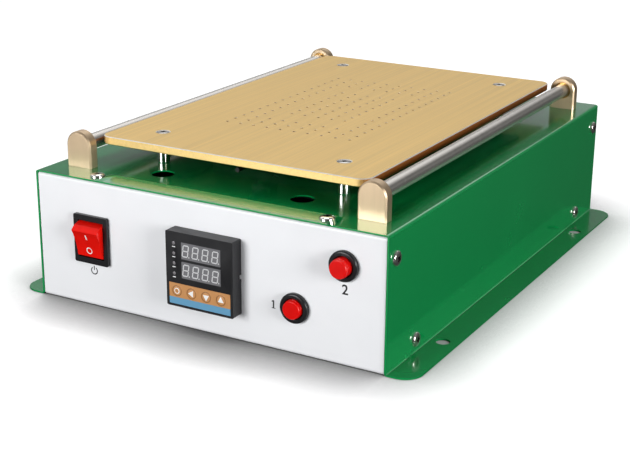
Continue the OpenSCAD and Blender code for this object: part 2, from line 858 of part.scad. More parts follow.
module controller_housing() {
    color("darkslategray") in_case() difference() {
        union() {
            translate([ctrl_x, ctrl_front, ctrl_z]) along_y(ctrl_proud)
                round_rect(ctrl_w, ctrl_w, ctrl_corner);
            translate([ctrl_x, front_face - fuse, ctrl_z]) along_y(ctrl_body_d + fuse)
                square(ctrl_body_w, center = true);
        }
        at_controller_face() {
            for (z = window_zs) translate([window_x, -cut, z])
                cube([window_w, window_recess + cut, window_h]);
            translate([keypad_x, -cut, keypad_z]) cube([keypad_w, keypad_t + cut, keypad_h]);
            for (x = key_xs) translate([x, 0, key_z]) rotate([-90, 0, 0])
                cylinder(h = key_l + key_travel + fit_gap, d = key_d + 2 * run_gap);
            for (z = lamp_zs) translate([lamp_x, -cut, z]) along_y(cut + lamp_sink) circle(d = lamp_d);
            for (x = [-cut, ctrl_w - notch_w])
                translate([x, ctrl_proud - notch_d, ctrl_w / 2 - notch_h / 2])
                    cube([notch_w + cut, notch_d + fuse, notch_h]);
        }
        translate([ctrl_x, front_face + ctrl_body_d, ctrl_z]) terminal_places()
            translate([0, -terminal_sink, 0]) along_y(terminal_sink + cut)
                circle(d = terminal_d - 2 * terminal_step);
    }
}

module controller_windows() {
    gap = seat_gap;
    color("dimgray") in_case() at_controller_face() for (z = window_zs)
        translate([window_x + gap, window_recess - window_t, z + gap])
            cube([window_w - 2 * gap, window_t, window_h - 2 * gap]);
}

module controller_keypad() {
    gap = seat_gap;
    color("orange") in_case() at_controller_face() difference() {
        translate([keypad_x + gap, 0, keypad_z + gap])
            cube([keypad_w - 2 * gap, keypad_t, keypad_h - 2 * gap]);
        for (x = key_xs) translate([x, -cut, key_z]) rotate([-90, 0, 0])
            cylinder(h = keypad_t + 2 * cut, d = key_d + 2 * run_gap);
    }
}

// One round key of the keypad, by its number from the left: its face is slightly crowned
module key(i) {
    crown_r = (key_d * key_d / 4 + key_crown * key_crown) / (2 * key_crown);
    color("orange") in_case() at_controller_face() translate([key_xs[i], -key_proud, key_z])
        rotate([-90, 0, 0]) intersection() {
            cylinder(h = key_l + key_proud, d = key_d);
            translate([0, 0, crown_r]) sphere(crown_r, $fn = 128);
        }
}

module key_set() {
    key(0);
}

module key_left() {
    key(1);
}

module key_down() {
    key(2);
}

module key_up() {
    key(3);
}

module controller_clamp() {
    color("black") in_case() translate([ctrl_x, front_back, ctrl_z]) along_y(clamp_d) difference() {
        square(ctrl_body_w + 2 * (clamp_gap + clamp_wall), center = true);
        square(ctrl_body_w + 2 * clamp_gap, center = true);
    }
}

// The places of the controller's terminal screws on its rear face
module terminal_places() {
    for (x = [-1, 1], i = [0 : terminal_rows - 1])
        translate([x * terminal_x, 0, (i - (terminal_rows - 1) / 2) * terminal_pitch]) children();
}

module controller_rear_cover() {
    color("black") in_case() translate([ctrl_x, front_face + ctrl_body_d, ctrl_z]) difference() {
        along_y(rear_cover_d) square(ctrl_body_w, center = true);
        terminal_places() translate([0, -cut, 0]) along_y(rear_cover_d + 2 * cut)
            circle(d = terminal_d + 2 * seat_gap);
    }
}

module controller_terminals() {
    color("goldenrod") in_case() translate([ctrl_x, front_face + ctrl_body_d, ctrl_z])
        terminal_places() along_y(terminal_l) circle(d = terminal_d);
}

// The two push buttons, each with the panel's face at y = 0
module at_buttons() {
    translate([upper_x, front_face, upper_z]) children();
    translate([lower_x, front_face, lower_z]) children();
}

// The ring's half section: a rounded collar on the panel and a barrel behind it
module ring_section() {
    bore = cap_d / 2 + run_gap;
    open = ring_open_d / 2;
    difference() {
        union() {
            translate([bore, -fuse]) square([ring_d / 2 - bore, ring_h - ring_round + fuse]);
            translate([bore, 0]) square([ring_d / 2 - ring_round - bore, ring_h]);
            translate([ring_d / 2 - ring_round, ring_h - ring_round]) circle(ring_round);
            translate([bore, -barrel_l]) square([barrel_d / 2 - bore, barrel_l]);
        }
        translate([0, ring_h - ring_lip]) square([open, ring_lip + cut]);
        translate([bore, -fuse - cut]) translate([barrel_d / 2 - bore, 0]) square([ring_d, cut + fuse]);
    }
}

module button_rings() {
    color("black") in_case() at_buttons() rotate([90, 0, 0]) rotate_extrude() ring_section();
}

module button_nuts() {
    color("silver") in_case() at_buttons() translate([0, tray_t, 0]) rotate([-90, 0, 0]) difference() {
        cylinder(h = button_nut_t, d = button_nut_w / cos(30), $fn = 6);
        translate([0, 0, -cut]) cylinder(h = button_nut_t + 2 * cut, d = barrel_d + 2 * seat_gap);
    }
}

module button_contacts() {
    color("dimgray") in_case() at_buttons() translate([0, barrel_l, 0]) {
        rotate([-90, 0, 0]) cylinder(h = contact_l, d = contact_d);
        for (x = [-1, 1]) translate([x * lug_x - lug_w / 2, contact_l - fuse, -lug_t / 2])
            cube([lug_w, lug_l + fuse, lug_t]);
    }
}

// A cap whose face stands off the panel by a given height, with a step in its side
module button_cap(proud) {
    color("red") translate([0, -proud, 0]) rotate([-90, 0, 0]) {
        cylinder(h = cap_bevel, d1 = cap_face_d - 2 * cap_bevel, d2 = cap_face_d);
        translate([0, 0, cap_bevel]) cylinder(h = cap_l - cap_bevel, d = cap_face_d);
        translate([0, 0, cap_step]) cylinder(h = cap_l - cap_step, d = cap_d);
    }
}

module upper_button_cap() {
    in_case() translate([upper_x, front_face, upper_z]) button_cap(cap_proud);
}

module lower_button_cap() {
    in_case() translate([lower_x, front_face, lower_z]) button_cap(cap_proud - latch_travel);
}

// Puts the mains inlet in its place, with the rear wall's outer face at y = 0
module at_inlet() {
    translate([inlet_x, rear_face, inlet_z]) children();
}

// The socket's mouth: a rectangle with its two lower corners cut off
module socket_outline() {
    w = inlet_socket_w / 2;
    h = inlet_socket_h / 2;
    c = inlet_chamfer;
    polygon([[-w, h], [-w, c - h], [c - w, -h], [w - c, -h], [w, c - h], [w, h]]);
}

module mains_inlet() {
    box_d = inlet_socket_d - inlet_proud + inlet_floor;
    color("black") in_case() at_inlet() difference() {
        union() {
            along_y(inlet_proud) round_rect(inlet_flange_w, inlet_flange_h, inlet_corner);
            translate([0, -box_d, 0]) along_y(box_d + fuse) square([inlet_box_w, inlet_box_h], center = true);
        }
        translate([0, inlet_proud - inlet_socket_d, 0]) along_y(inlet_socket_d + cut) socket_outline();
        for (x = [-1, 1]) translate([x * inlet_screw_x, inlet_proud, 0]) rotate([-90, 0, 0]) {
            translate([0, 0, -inlet_proud - cut]) cylinder(h = inlet_proud + 2 * cut, d = inlet_hole_d);
            translate([0, 0, -inlet_csk]) cylinder(h = inlet_csk + fuse,
                d1 = inlet_hole_d, d2 = inlet_hole_d + 2 * (inlet_csk + fuse));
        }
        inlet_pin_places() translate([0, -box_d - cut, 0])
            along_y(box_d) square([inlet_pin_w + 2 * seat_gap, inlet_pin_h + 2 * seat_gap], center = true);
    }
}

// The three pins: live and neutral low at the sides, earth high in the middle
module inlet_pin_places() {
    for (x = [-1, 1]) translate([x * inlet_pin_x, 0, inlet_live_z]) children();
    translate([0, 0, inlet_earth_z]) children();
}

module inlet_pins() {
    root = inlet_socket_d - inlet_proud;
    color("silver") in_case() at_inlet() inlet_pin_places()
        translate([0, -root - inlet_floor - inlet_tail_l, 0])
            along_y(inlet_tail_l + inlet_floor + inlet_pin_l)
                square([inlet_pin_w, inlet_pin_h], center = true);
}

module inlet_screws() {
    color("silver") in_case() at_inlet() for (x = [-1, 1])
        translate([x * inlet_screw_x, inlet_proud - csk_sink, 0]) rotate([-90, 0, 0])
            csk_screw(small_d, small_head_d, inlet_proud + tray_t + inlet_screw_tip);
}

// The places of the vacuum chamber's screws about the middle of the plate
module at_chamber_screws() {
    for (x = [-1, 1], y = [-1, 0, 1])
        translate([x * (chamber_w / 2 - chamber_screw_in), y * (chamber_d / 2 - chamber_screw_in), 0])
            children();
}

// A hose spigot pointing down from z = 0
module spigot() {
    translate([0, 0, -spigot_len]) difference() {
        cylinder(h = spigot_len + fuse, d = spigot_d);
        translate([0, 0, -cut]) cylinder(h = spigot_len + fuse + 2 * cut, d = spigot_d - 2 * spigot_wall);
    }
}

module vacuum_chamber() {
    tall = chamber_floor + chamber_pocket;
    color("silver") in_case() translate([0, plate_y, chamber_z]) {
        difference() {
            linear_extrude(tall) round_rect(chamber_w, chamber_d, chamber_r);
            translate([0, 0, chamber_floor]) linear_extrude(chamber_pocket + cut)
                round_rect(chamber_w - 2 * chamber_rim, chamber_d - 2 * chamber_rim, chamber_pocket_r);
            at_chamber_screws() translate([0, 0, -cut])
                cylinder(h = tall + 2 * cut, d = small_d + 2 * slide_gap);
            translate([0, hose_y - plate_y, -cut]) cylinder(h = tall, d = spigot_d - 2 * spigot_wall);
        }
        translate([0, hose_y - plate_y, 0]) spigot();
    }
}

// The screws that hold the chamber, and the one that holds the probe's clip
module chamber_screws() {
    grip = chamber_floor + chamber_pocket;
    color("silver") in_case() translate([0, plate_y, plate_z]) {
        at_chamber_screws() translate([0, 0, -grip]) mirror([0, 0, 1])
            pan_screw(small_d, small_head_d, small_head_h, grip + chamber_thread - slide_gap);
        translate([0, -probe_y, -clip_h]) mirror([0, 0, 1])
            pan_screw(small_d, small_head_d, small_head_h, clip_h + chamber_thread - slide_gap);
    }
}

module heater_mats() {
    x0 = chamber_w / 2 + heater_in;
    w = plate_w / 2 - heater_out - x0;
    d = plate_d - 2 * heater_end;
    color("darkorange") in_case() both_sides() translate([x0 + w / 2, plate_y, plate_z - heater_t])
        linear_extrude(heater_t) round_rect(w, d, heater_r);
}

module temperature_probe() {
    z = plate_z - clip_h / 2;
    color("lightsteelblue") in_case() translate([probe_x, plate_y - probe_y + probe_tip - probe_l, z])
        rotate([-90, 0, 0]) {
            cylinder(h = probe_l, d = probe_d);
            translate([0, 0, -probe_lead_l]) cylinder(h = probe_lead_l + fuse, d = probe_lead_d);
        }
}

module probe_clip() {
    w = clip_in + probe_x + probe_d / 2 + clip_wall;
    color("silver") in_case() translate([0, plate_y - probe_y, plate_z - clip_h]) difference() {
        translate([-clip_in, -clip_l / 2, 0]) cube([w, clip_l, clip_h]);
        translate([probe_x, -clip_l / 2 - cut, clip_h / 2]) rotate([-90, 0, 0])
            cylinder(h = clip_l + 2 * cut, d = probe_d + 2 * seat_gap);
        translate([0, 0, -cut]) cylinder(h = clip_h + 2 * cut, d = small_d + 2 * slide_gap);
    }
}

// The hose drops from the chamber through the cover, turns back and reaches the pump's port
module vacuum_hose() {
    color("lightgray") in_case() {
        translate([0, hose_y, port_z + hose_bend]) hose_run(hose_top - port_z - hose_bend);
        translate([0, hose_y + hose_bend, port_z + hose_bend]) rotate([90, 0, 90])
            rotate_extrude(angle = 90, start = 180) translate([hose_bend, 0]) hose_ring();
        translate([0, hose_y + hose_bend, port_z]) rotate([-90, 0, 0])
            hose_run(hose_end_y - hose_y - hose_bend);
    }
}

module hose_ring() {
    difference() {
        circle(d = hose_d);
        circle(d = hose_bore);
    }
}

module hose_run(l) {
    linear_extrude(l) hose_ring();
}

// The grommet's half section: a sleeve in the cover's hole with a lip on each side of the sheet
module hose_grommet() {
    bore = hose_d / 2 + seat_gap;
    sleeve = grommet_d / 2 - seat_gap;
    color("black") in_case() translate([0, hose_y, case_h - cover_t]) rotate_extrude() {
        translate([bore, -grommet_lip_t]) square([sleeve - bore, cover_t + 2 * grommet_lip_t]);
        translate([bore, -grommet_lip_t]) square([grommet_wall + grommet_lip, grommet_lip_t]);
        translate([bore, cover_t]) square([grommet_wall + grommet_lip, grommet_lip_t]);
    }
}

module pump_head_cover() {
    color("dimgray") in_case() translate([pump_x, head_face_y, pump_axis_z]) {
        difference() {
            along_y(head_cover_t) round_rect(head_w, head_tall, head_corner);
            translate([0, -cut, port_z - pump_axis_z]) along_y(head_cover_t)
                circle(d = spigot_d - 2 * spigot_wall);
        }
        translate([0, 0, port_z - pump_axis_z]) rotate([90, 0, 0]) mirror([0, 0, 1]) spigot();
    }
}

module pump_head() {
    y0 = head_face_y + head_cover_t;
    color("black") in_case() translate([pump_x, y0, pump_axis_z]) difference() {
        along_y(head_l) round_rect(head_w, head_tall, head_corner);
        translate([0, head_l - shaft_d, 0]) along_y(shaft_d + cut) circle(d = shaft_d + 2 * slide_gap);
    }
}

module pump_motor() {
    y0 = head_face_y + head_cover_t + head_l;
    color("gainsboro") in_case() translate([pump_x, y0, pump_axis_z]) rotate([-90, 0, 0]) {
        translate([0, 0, slide_gap - shaft_d]) cylinder(h = shaft_d, d = shaft_d);
        cylinder(h = motor_l, d = motor_d);
        translate([0, 0, motor_l - fuse]) cylinder(h = motor_cap_l,
            d1 = motor_d * motor_cap_shares[0], d2 = motor_d * motor_cap_shares[1]);
    }
}

// The places of the pump's rubber feet, on the tray's floor
module at_pump_feet() {
    y0 = head_face_y + head_cover_t + head_l + motor_l / 2;
    for (x = [-1, 1], y = [-1, 1])
        translate([pump_x + x * (cradle_w / 2 - foot_in), y0 + y * (cradle_l / 2 - foot_in), 0]) children();
}

module pump_cradle() {
    y0 = head_face_y + head_cover_t + head_l + (motor_l - cradle_l) / 2;
    base = tray_t + foot_h;
    r = motor_d / 2 + seat_gap;
    color("silver") in_case() difference() {
        union() {
            translate([pump_x - cradle_w / 2, y0, base]) cube([cradle_w, cradle_l, cradle_t]);
            translate([pump_x, y0, pump_axis_z]) along_y(cradle_l) difference() {
                circle(r + cradle_wall);
                circle(r);
                translate([-motor_d, -motor_d * cradle_top_share]) square(2 * motor_d);
                translate([-motor_d, -2 * motor_d - pump_axis_z + base + fuse]) square(2 * motor_d);
            }
        }
        translate([pump_x, y0 - cut, pump_axis_z]) along_y(cradle_l + 2 * cut) circle(r);
        at_pump_feet() translate([0, 0, base - cut]) cylinder(h = cradle_t + 2 * cut, d = foot_bore);
    }
}

module pump_feet() {
    color("black") in_case() at_pump_feet() translate([0, 0, tray_t]) difference() {
        cylinder(h = foot_h, d = foot_d);
        translate([0, 0, -cut]) cylinder(h = foot_h + 2 * cut, d = foot_bore);
    }
}

module pump_screws() {
    color("silver") in_case() at_pump_feet() translate([0, 0, tray_t + foot_h + cradle_t])
        pan_screw(small_d, small_head_d, small_head_h, cradle_t + foot_h + tray_t / 2);
}

module relay() {
    color("white") in_case() translate([relay_x, relay_y + sink_d / 2, tray_t + sink_h])
        linear_extrude(relay_h) round_rect(relay_w, relay_d, relay_corner);
}

module relay_heat_sink() {
    pitch = (sink_w - sink_fin_t) / (sink_fins - 1);
    color("silver") in_case() translate([relay_x, relay_y, tray_t]) {
        translate([-sink_w / 2, 0, sink_h - sink_base]) cube([sink_w, sink_d, sink_base]);
        for (i = [0 : sink_fins - 1])
            translate([-sink_w / 2 + i * pitch, 0, 0]) cube([sink_fin_t, sink_d, sink_h - sink_base + fuse]);
    }
}

// The power supply: a steel case with slots in its top and a fixing tab at each end
module power_supply() {
    slot_l = supply_w * supply_slot_share;
    color("silver") in_case() translate([supply_x, supply_y, tray_t]) difference() {
        union() {
            translate([-supply_w / 2, 0, 0]) cube([supply_w, supply_d, supply_h]);
            translate([-supply_tab, -supply_tab, 0])
                cube([2 * supply_tab, supply_d + 2 * supply_tab, supply_wall]);
        }
        for (i = [0 : supply_slots - 1])
            translate([-slot_l / 2, supply_d / 2 + (i - (supply_slots - 1) / 2) * supply_slot_pitch,
                supply_h - supply_wall]) cube([slot_l, supply_slot_w, supply_wall + cut]);
        for (y = [-supply_tab / 2, supply_d + supply_tab / 2])
            translate([0, y, -cut]) cylinder(h = supply_wall + 2 * cut, d = small_d + 2 * slide_gap);
    }
}

// The places of the power supply's screws, on the tray's floor
module at_supply_screws() {
    for (y = [-supply_tab / 2, supply_d + supply_tab / 2])
        translate([supply_x, supply_y + y, 0]) children();
}

module supply_screws() {
    color("silver") in_case() at_supply_screws() translate([0, 0, tray_t + supply_wall])
        pan_screw(small_d, small_head_d, small_head_h, supply_wall + tray_t / 2);
}

module earth_stud() {
    color("goldenrod") in_case() translate([earth_x, earth_y, tray_t / 2])
        cylinder(h = earth_l, d = screw_d - 2 * seat_gap);
}

module earth_nuts() {
    color("goldenrod") in_case() for (i = [0, 1])
        translate([earth_x, earth_y, tray_t + i * (earth_nut_t + seat_gap)]) difference() {
            cylinder(h = earth_nut_t, d = earth_nut_w / cos(30), $fn = 6);
            translate([0, 0, -cut]) cylinder(h = earth_nut_t + 2 * cut, d = screw_d);
        }
}

cover();
chassis_tray();
case_screws();
heated_plate();
plate_screws();
standoffs();
standoff_screws();
rod_left();
rod_right();
rod_brackets();
rod_bushes();
bracket_screws();
rocker_housing();
rocker_paddle();
rocker_terminals();
controller_housing();
controller_windows();
controller_keypad();
key_set();
key_left();
key_down();
key_up();
controller_clamp();
controller_rear_cover();
controller_terminals();
button_rings();
button_nuts();
button_contacts();
upper_button_cap();
lower_button_cap();
mains_inlet();
inlet_pins();
inlet_screws();
vacuum_chamber();
chamber_screws();
heater_mats();
temperature_probe();
probe_clip();
vacuum_hose();
hose_grommet();
pump_head();
pump_head_cover();
pump_motor();
pump_cradle();
pump_feet();
pump_screws();
relay();
relay_heat_sink();
power_supply();
supply_screws();
earth_stud();
earth_nuts();
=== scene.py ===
"""Finishes, markings, screws and stage of the LCD screen separator, built around its frame."""

import math

import bmesh
import bpy
from bpy.props import FloatProperty, FloatVectorProperty, IntProperty, PointerProperty
from bpy.types import Operator, Panel, PropertyGroup
from mathutils import Matrix, Quaternion, Vector

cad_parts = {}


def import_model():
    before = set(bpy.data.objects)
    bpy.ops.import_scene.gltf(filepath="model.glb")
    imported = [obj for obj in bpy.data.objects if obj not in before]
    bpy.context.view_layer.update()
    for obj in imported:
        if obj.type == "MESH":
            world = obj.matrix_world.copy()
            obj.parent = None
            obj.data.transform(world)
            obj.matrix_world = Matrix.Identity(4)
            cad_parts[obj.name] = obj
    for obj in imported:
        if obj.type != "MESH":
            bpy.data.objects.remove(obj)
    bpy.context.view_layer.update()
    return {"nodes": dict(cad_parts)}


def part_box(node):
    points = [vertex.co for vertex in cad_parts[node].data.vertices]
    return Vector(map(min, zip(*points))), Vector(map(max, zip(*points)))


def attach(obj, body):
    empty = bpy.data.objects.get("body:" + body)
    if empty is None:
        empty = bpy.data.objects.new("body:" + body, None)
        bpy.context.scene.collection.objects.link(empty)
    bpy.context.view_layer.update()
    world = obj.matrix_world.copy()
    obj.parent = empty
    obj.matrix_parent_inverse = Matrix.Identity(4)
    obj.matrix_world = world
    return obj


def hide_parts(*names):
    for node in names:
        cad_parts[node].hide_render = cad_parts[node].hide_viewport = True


bl_info = {
    "name": "LCD screen separator",
    "version": (1, 0, 0),
    "blender": (4, 5, 0),
    "location": "3D View > Sidebar > Separator",
    "description": "Builds the finishes, markings, screws and stage of an LCD screen separator",
    "category": "Object",
}

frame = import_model()
MM = 0.001


def low(node):
    """The lowest corner of a node of the frame."""
    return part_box(node)[0]


def high(node):
    """The highest corner of a node of the frame."""
    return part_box(node)[1]


def middle(node):
    """The centre of a node of the frame."""
    return (low(node) + high(node)) / 2


# Sizes and colours


def length(label, text, default, most=2.0):
    """A length in metres for a property group."""
    return FloatProperty(
        name=label, description=text, default=default, min=0.0, max=most,
        unit="LENGTH", subtype="DISTANCE", precision=5,
    )


def angle(label, text, degrees):
    """An angle for a property group."""
    return FloatProperty(name=label, description=text, default=math.radians(degrees), subtype="ANGLE")


def power(label, text, default):
    """The power of a light in watts for a property group."""
    return FloatProperty(name=label, description=text, default=default, min=0.0, unit="POWER")


def strength(label, text, default):
    """The strength of a glow for a property group."""
    return FloatProperty(name=label, description=text, default=default, min=0.0)


def shade(label, text, default):
    """A grey from black to white for a property group."""
    return FloatProperty(
        name=label, description=text, default=default, min=0.0, max=1.0, subtype="FACTOR"
    )


def whole(label, text, default, least=0):
    """A whole number for a property group."""
    return IntProperty(name=label, description=text, default=default, min=least)


def colour(label, text, default):
    """A linear colour for a property group."""
    return FloatVectorProperty(
        name=label, description=text, default=default, size=3, min=0.0, max=1.0, subtype="COLOR"
    )


class SeparatorColours(PropertyGroup):
    """The colours of the coats, metals and mouldings."""

    case_green: colour("Case green", "Powder coat of the cover", (0.002, 0.30, 0.085))
    panel_white: colour("Panel white", "Powder coat of the tray", (0.84, 0.85, 0.87))
    plate_gold: colour("Plate gold", "Brushed top plate", (0.81, 0.595, 0.27))
    # A dark copper painted on the plate's long side faces as shade
    plate_side_shade: colour("Plate edge", "Long edges of the top plate", (0.42, 0.16, 0.035))
    bracket_champagne: colour("Champagne", "Rod brackets", (0.64, 0.50, 0.345))
    rocker_red: colour("Rocker red", "Paddle of the switch", (0.78, 0.012, 0.006))
    cap_red: colour("Cap red", "Caps of the push buttons", (0.70, 0.008, 0.006))
    housing_black: colour("Black", "Controller, bezel and rings", (0.022, 0.022, 0.024))
    keypad_orange: colour("Keypad orange", "Upper part of the keypad", (0.56, 0.29, 0.12))
    keypad_blue: colour("Keypad blue", "Lower band of the keypad", (0.15, 0.35, 0.52))
    ink: colour("Ink", "Marks printed on the panel", (0.02, 0.02, 0.022))


class SeparatorPlate(PropertyGroup):
    """The perforated top plate."""

    bevel: length("Edge bevel", "Bevel round the plate's faces", 0.5 * MM)
    corner: length("Corner", "Radius of the upright corners", 8 * MM)
    hole: length("Hole", "Diameter of a vacuum hole", 2.0 * MM)
    hole_bevel: length("Hole bevel", "Bevel at the mouth of a vacuum hole", 0.1 * MM)
    pitch_x: length("Pitch across", "Spacing of the holes across", 10.3014 * MM)
    pitch_y: length("Pitch along", "Spacing of the holes along", 10.29 * MM)
    screw_x: length("Screws across", "From the middle to a screw", 66.8 * MM)
    screw_y: length("Screws along", "From the middle to a screw", 122 * MM)
    screw_hole: length("Screw hole", "Diameter of the hole for a plate screw", 4.3 * MM)
    columns: whole("Columns", "Columns of holes", 10, 4)
    rows: whole("Rows", "Rows of holes", 16, 6)
    inner_columns: whole("Inner columns", "Columns of the block in the middle", 5, 2)
    inner_rows: whole("Inner rows", "Rows of the block in the middle", 8, 2)


class SeparatorScrews(PropertyGroup):
    """The screws that show."""

    head: length("Head", "Diameter of a case screw's head", 9.4 * MM)
    height: length("Height", "Height of a case screw's head", 2.1 * MM)
    flat_head: length("Flat head", "Diameter of a plate screw's head", 8.2 * MM)
    flat_height: length("Flat height", "Depth of a plate screw's cone", 2.0 * MM)
    seed: whole("Seed", "Turns of the screws", 7)


class SeparatorEdges(PropertyGroup):
    """The rounding of small edges."""

    metal: length("Metal edge", "Rounding of the brackets' edges", 0.35 * MM)
    moulding: length("Moulded edge", "Rounding of the mouldings' edges", 0.3 * MM)
    key: length("Key edge", "Rounding of the keys' edges", 0.15 * MM)


class SeparatorMarks(PropertyGroup):
    """The marks on the panel, the switch, the controller and the keys."""

    stroke: length("Stroke", "Width of a printed line", 0.7 * MM)
    film: length("Film", "Thickness of a printed mark", 0.03 * MM)
    digit: length("Digit", "Height of a display digit", 8.2 * MM)
    figure: length("Figure", "Height of a button's number", 6 * MM)
    lamp: length("Lamp", "Radius of a lamp", 1.1 * MM)


class SeparatorStage(PropertyGroup):
    """The camera, the lights and the floor."""

    lens: length("Lens", "Focal length over the camera's sensor", 76.87 * MM)
    azimuth: angle("Azimuth", "Camera's bearing", 29.4876)
    elevation: angle("Elevation", "Camera's height angle", 18.7186)
    roll: angle("Roll", "Camera's roll", 0.4574)
    front: power("Front", "Power of the front light", 31.0)
    side: power("Side", "Power of the side light", 38.0)
    top: power("Top", "Power of the top light", 8.0)
    sky: strength("Sky", "Strength of the studio's walls", 0.98)
    floor: length("Floor", "Radius of the floor", 7.0, 20.0)
    floor_seen: shade("Floor shade", "Shade of the floor as it is seen", 0.8)
    floor_unseen: shade("Floor bounce", "Shade of the floor as it lights the object", 0.03)
    floor_board: shade("Board bounce", "Shade of the floor in front as it lights the object", 0.35)
    floor_glow: strength("Floor glow", "Light of the floor's own", 0.45)
    # How far the painted contact shadow on the floor reaches round the case
    contact_shadow: length("Contact", "Reach of the darker floor close round the case", 60 * MM)


# Node trees


class Tree:
    """Adds nodes to a tree. An input takes a value, a socket or a tuple of sockets."""

    def __init__(self, tree):
        self.tree = tree

    def link(self, source, target):
        """Joins an output to an input."""
        self.tree.links.new(source, target)

    def node(self, kind, inputs=None, **settings):
        """A node of that kind. Inputs are keyed by name or number."""
        made = self.tree.nodes.new(kind)
        for key, value in settings.items():
            setattr(made, key, value)
        for key, value in (inputs or {}).items():
            sources = value if isinstance(value, tuple) else (value,)
            if isinstance(sources[0], bpy.types.NodeSocket):
                for source in sources:
                    self.link(source, made.inputs[key])
            else:
                made.inputs[key].default_value = value
        return made

    def result(self, kind, inputs=None, **settings):
        """The first output of a new node."""
        return self.node(kind, inputs, **settings).outputs[0]

    def math(self, operation, first, second=0.0, third=0.0):
        """The result of a Math node."""
        return self.result("ShaderNodeMath", {0: first, 1: second, 2: third}, operation=operation)

    def plus(self, first, second):
        """The sum of two numbers."""
        return self.math("ADD", first, second)

    def minus(self, first, second):
        """The first number less the second."""
        return self.math("SUBTRACT", first, second)

    def times(self, first, second):
        """The product of two numbers."""
        return self.math("MULTIPLY", first, second)

    def above(self, value, level):
        """1 where the value is above the level, and 0 elsewhere."""
        return self.math("GREATER_THAN", value, level)

    def vector(self, operation, first, second=(0, 0, 0)):
        """The result of a Vector Math node."""
        made = self.node("ShaderNodeVectorMath", {0: first, 1: second}, operation=operation)
        return made.outputs["Value" if operation == "LENGTH" else "Vector"]

    def xyz(self, x=0.0, y=0.0, z=0.0):
        """A vector from three numbers."""
        return self.result("ShaderNodeCombineXYZ", {0: x, 1: y, 2: z})

    def split(self, vector):
        """The X, Y and Z of a vector."""
        return self.node("ShaderNodeSeparateXYZ", {0: vector}).outputs

    def ramp(self, value, start, end, first, last, **settings):
        """A number that runs from first to last while the value runs from start to end."""
        inputs = {"Value": value, 1: start, 2: end, 3: first, 4: last}
        return self.result("ShaderNodeMapRange", inputs, **settings)

    def mix(self, factor, first, second, **settings):
        """A colour that turns from the first to the second as the factor runs from 0 to 1."""
        inputs = {"Factor": factor, 6: first, 7: second}
        return self.node("ShaderNodeMix", inputs, data_type="RGBA", **settings).outputs[2]

    def noise(self, vector, scale, detail, roughness, distortion=0.0):
        """A cloudy noise from 0 to 1."""
        inputs = {
            "Vector": vector, "Scale": scale, "Detail": detail, "Roughness": roughness,
            "Distortion": distortion,
        }
        return self.node("ShaderNodeTexNoise", inputs).outputs["Fac"]


def shader_group(name, setting, default, *results):
    """A new shader node group: a vector and one setting go in, and the named numbers come out."""
    group = bpy.data.node_groups.new(name, "ShaderNodeTree")
    kind = "NodeSocketVector" if isinstance(default, tuple) else "NodeSocketFloat"
    group.interface.new_socket("Vector", in_out="INPUT", socket_type="NodeSocketVector")
    socket = group.interface.new_socket(setting, in_out="INPUT", socket_type=kind)
    socket.default_value = default
    for label in results:
        group.interface.new_socket(label, in_out="OUTPUT", socket_type="NodeSocketFloat")
    tree = Tree(group)
    return tree, tree.node("NodeGroupInput").outputs, tree.node("NodeGroupOutput").inputs


def coat_texture_group():
    """The faint waviness of sprayed and baked powder, as a height, and its cloudiness."""
    tree, given, out = shader_group("Coat texture", "Grain", 900.0, "Height", "Cloud")
    fine = tree.noise(given["Vector"], given["Grain"], detail=2.0, roughness=0.5)
    broad = tree.noise(given["Vector"], scale=14.0, detail=3.0, roughness=0.6)
    tree.link(fine, out["Height"])
    tree.link(broad, out["Cloud"])
    return tree.tree


def brush_lines_group():
    """Brushed metal: long thin lines along one axis, as a height and a shade from 0 to 1."""
    tree, given, out = shader_group("Brush lines", "Stretch", (1.0, 1.0, 1.0), "Height", "Shade")
    scaled = tree.vector("MULTIPLY", given["Vector"], given["Stretch"])
    fine = tree.noise(scaled, scale=1.0, detail=6.0, roughness=0.72)
    coarse = tree.noise(scaled, scale=0.23, detail=3.0, roughness=0.6)
    both = tree.result("ShaderNodeMix", {"Factor": 0.55, 2: fine, 3: coarse}, data_type="FLOAT")
    tree.link(fine, out["Height"])
    tree.link(tree.ramp(both, 0.3, 0.7, 0.0, 1.0), out["Shade"])
    return tree.tree


def handling_group():
    """Smudges that handling leaves, as a mask from 0 to 1."""
    tree, given, out = shader_group("Handling marks", "Size", 25.0, "Smudge")
    cloud = tree.noise(given["Vector"], given["Size"], detail=5.0, roughness=0.65, distortion=0.4)
    tree.link(tree.ramp(cloud, 0.45, 0.75, 0.0, 1.0), out["Smudge"])
    return tree.tree


def moulded_grain_group():
    """The fine spark-eroded grain of a moulded plastic, as a height and a speckle."""
    tree, given, out = shader_group("Moulded grain", "Grain", 2200.0, "Height", "Speckle")
    grain = tree.noise(given["Vector"], given["Grain"], detail=3.0, roughness=0.6)
    patch = tree.noise(given["Vector"], scale=180.0, detail=2.0, roughness=0.5)
    tree.link(grain, out["Height"])
    tree.link(patch, out["Speckle"])
    return tree.tree


GROUP_MAKERS = {
    "Coat texture": coat_texture_group,
    "Brush lines": brush_lines_group,
    "Handling marks": handling_group,
    "Moulded grain": moulded_grain_group,
}
GROUPS = {}


def shared_group(name):
    """One of the shared shader groups, made on first use."""
    if name not in GROUPS:
        GROUPS[name] = GROUP_MAKERS[name]()
    return GROUPS[name]


# Finishes

FINISHES = {}


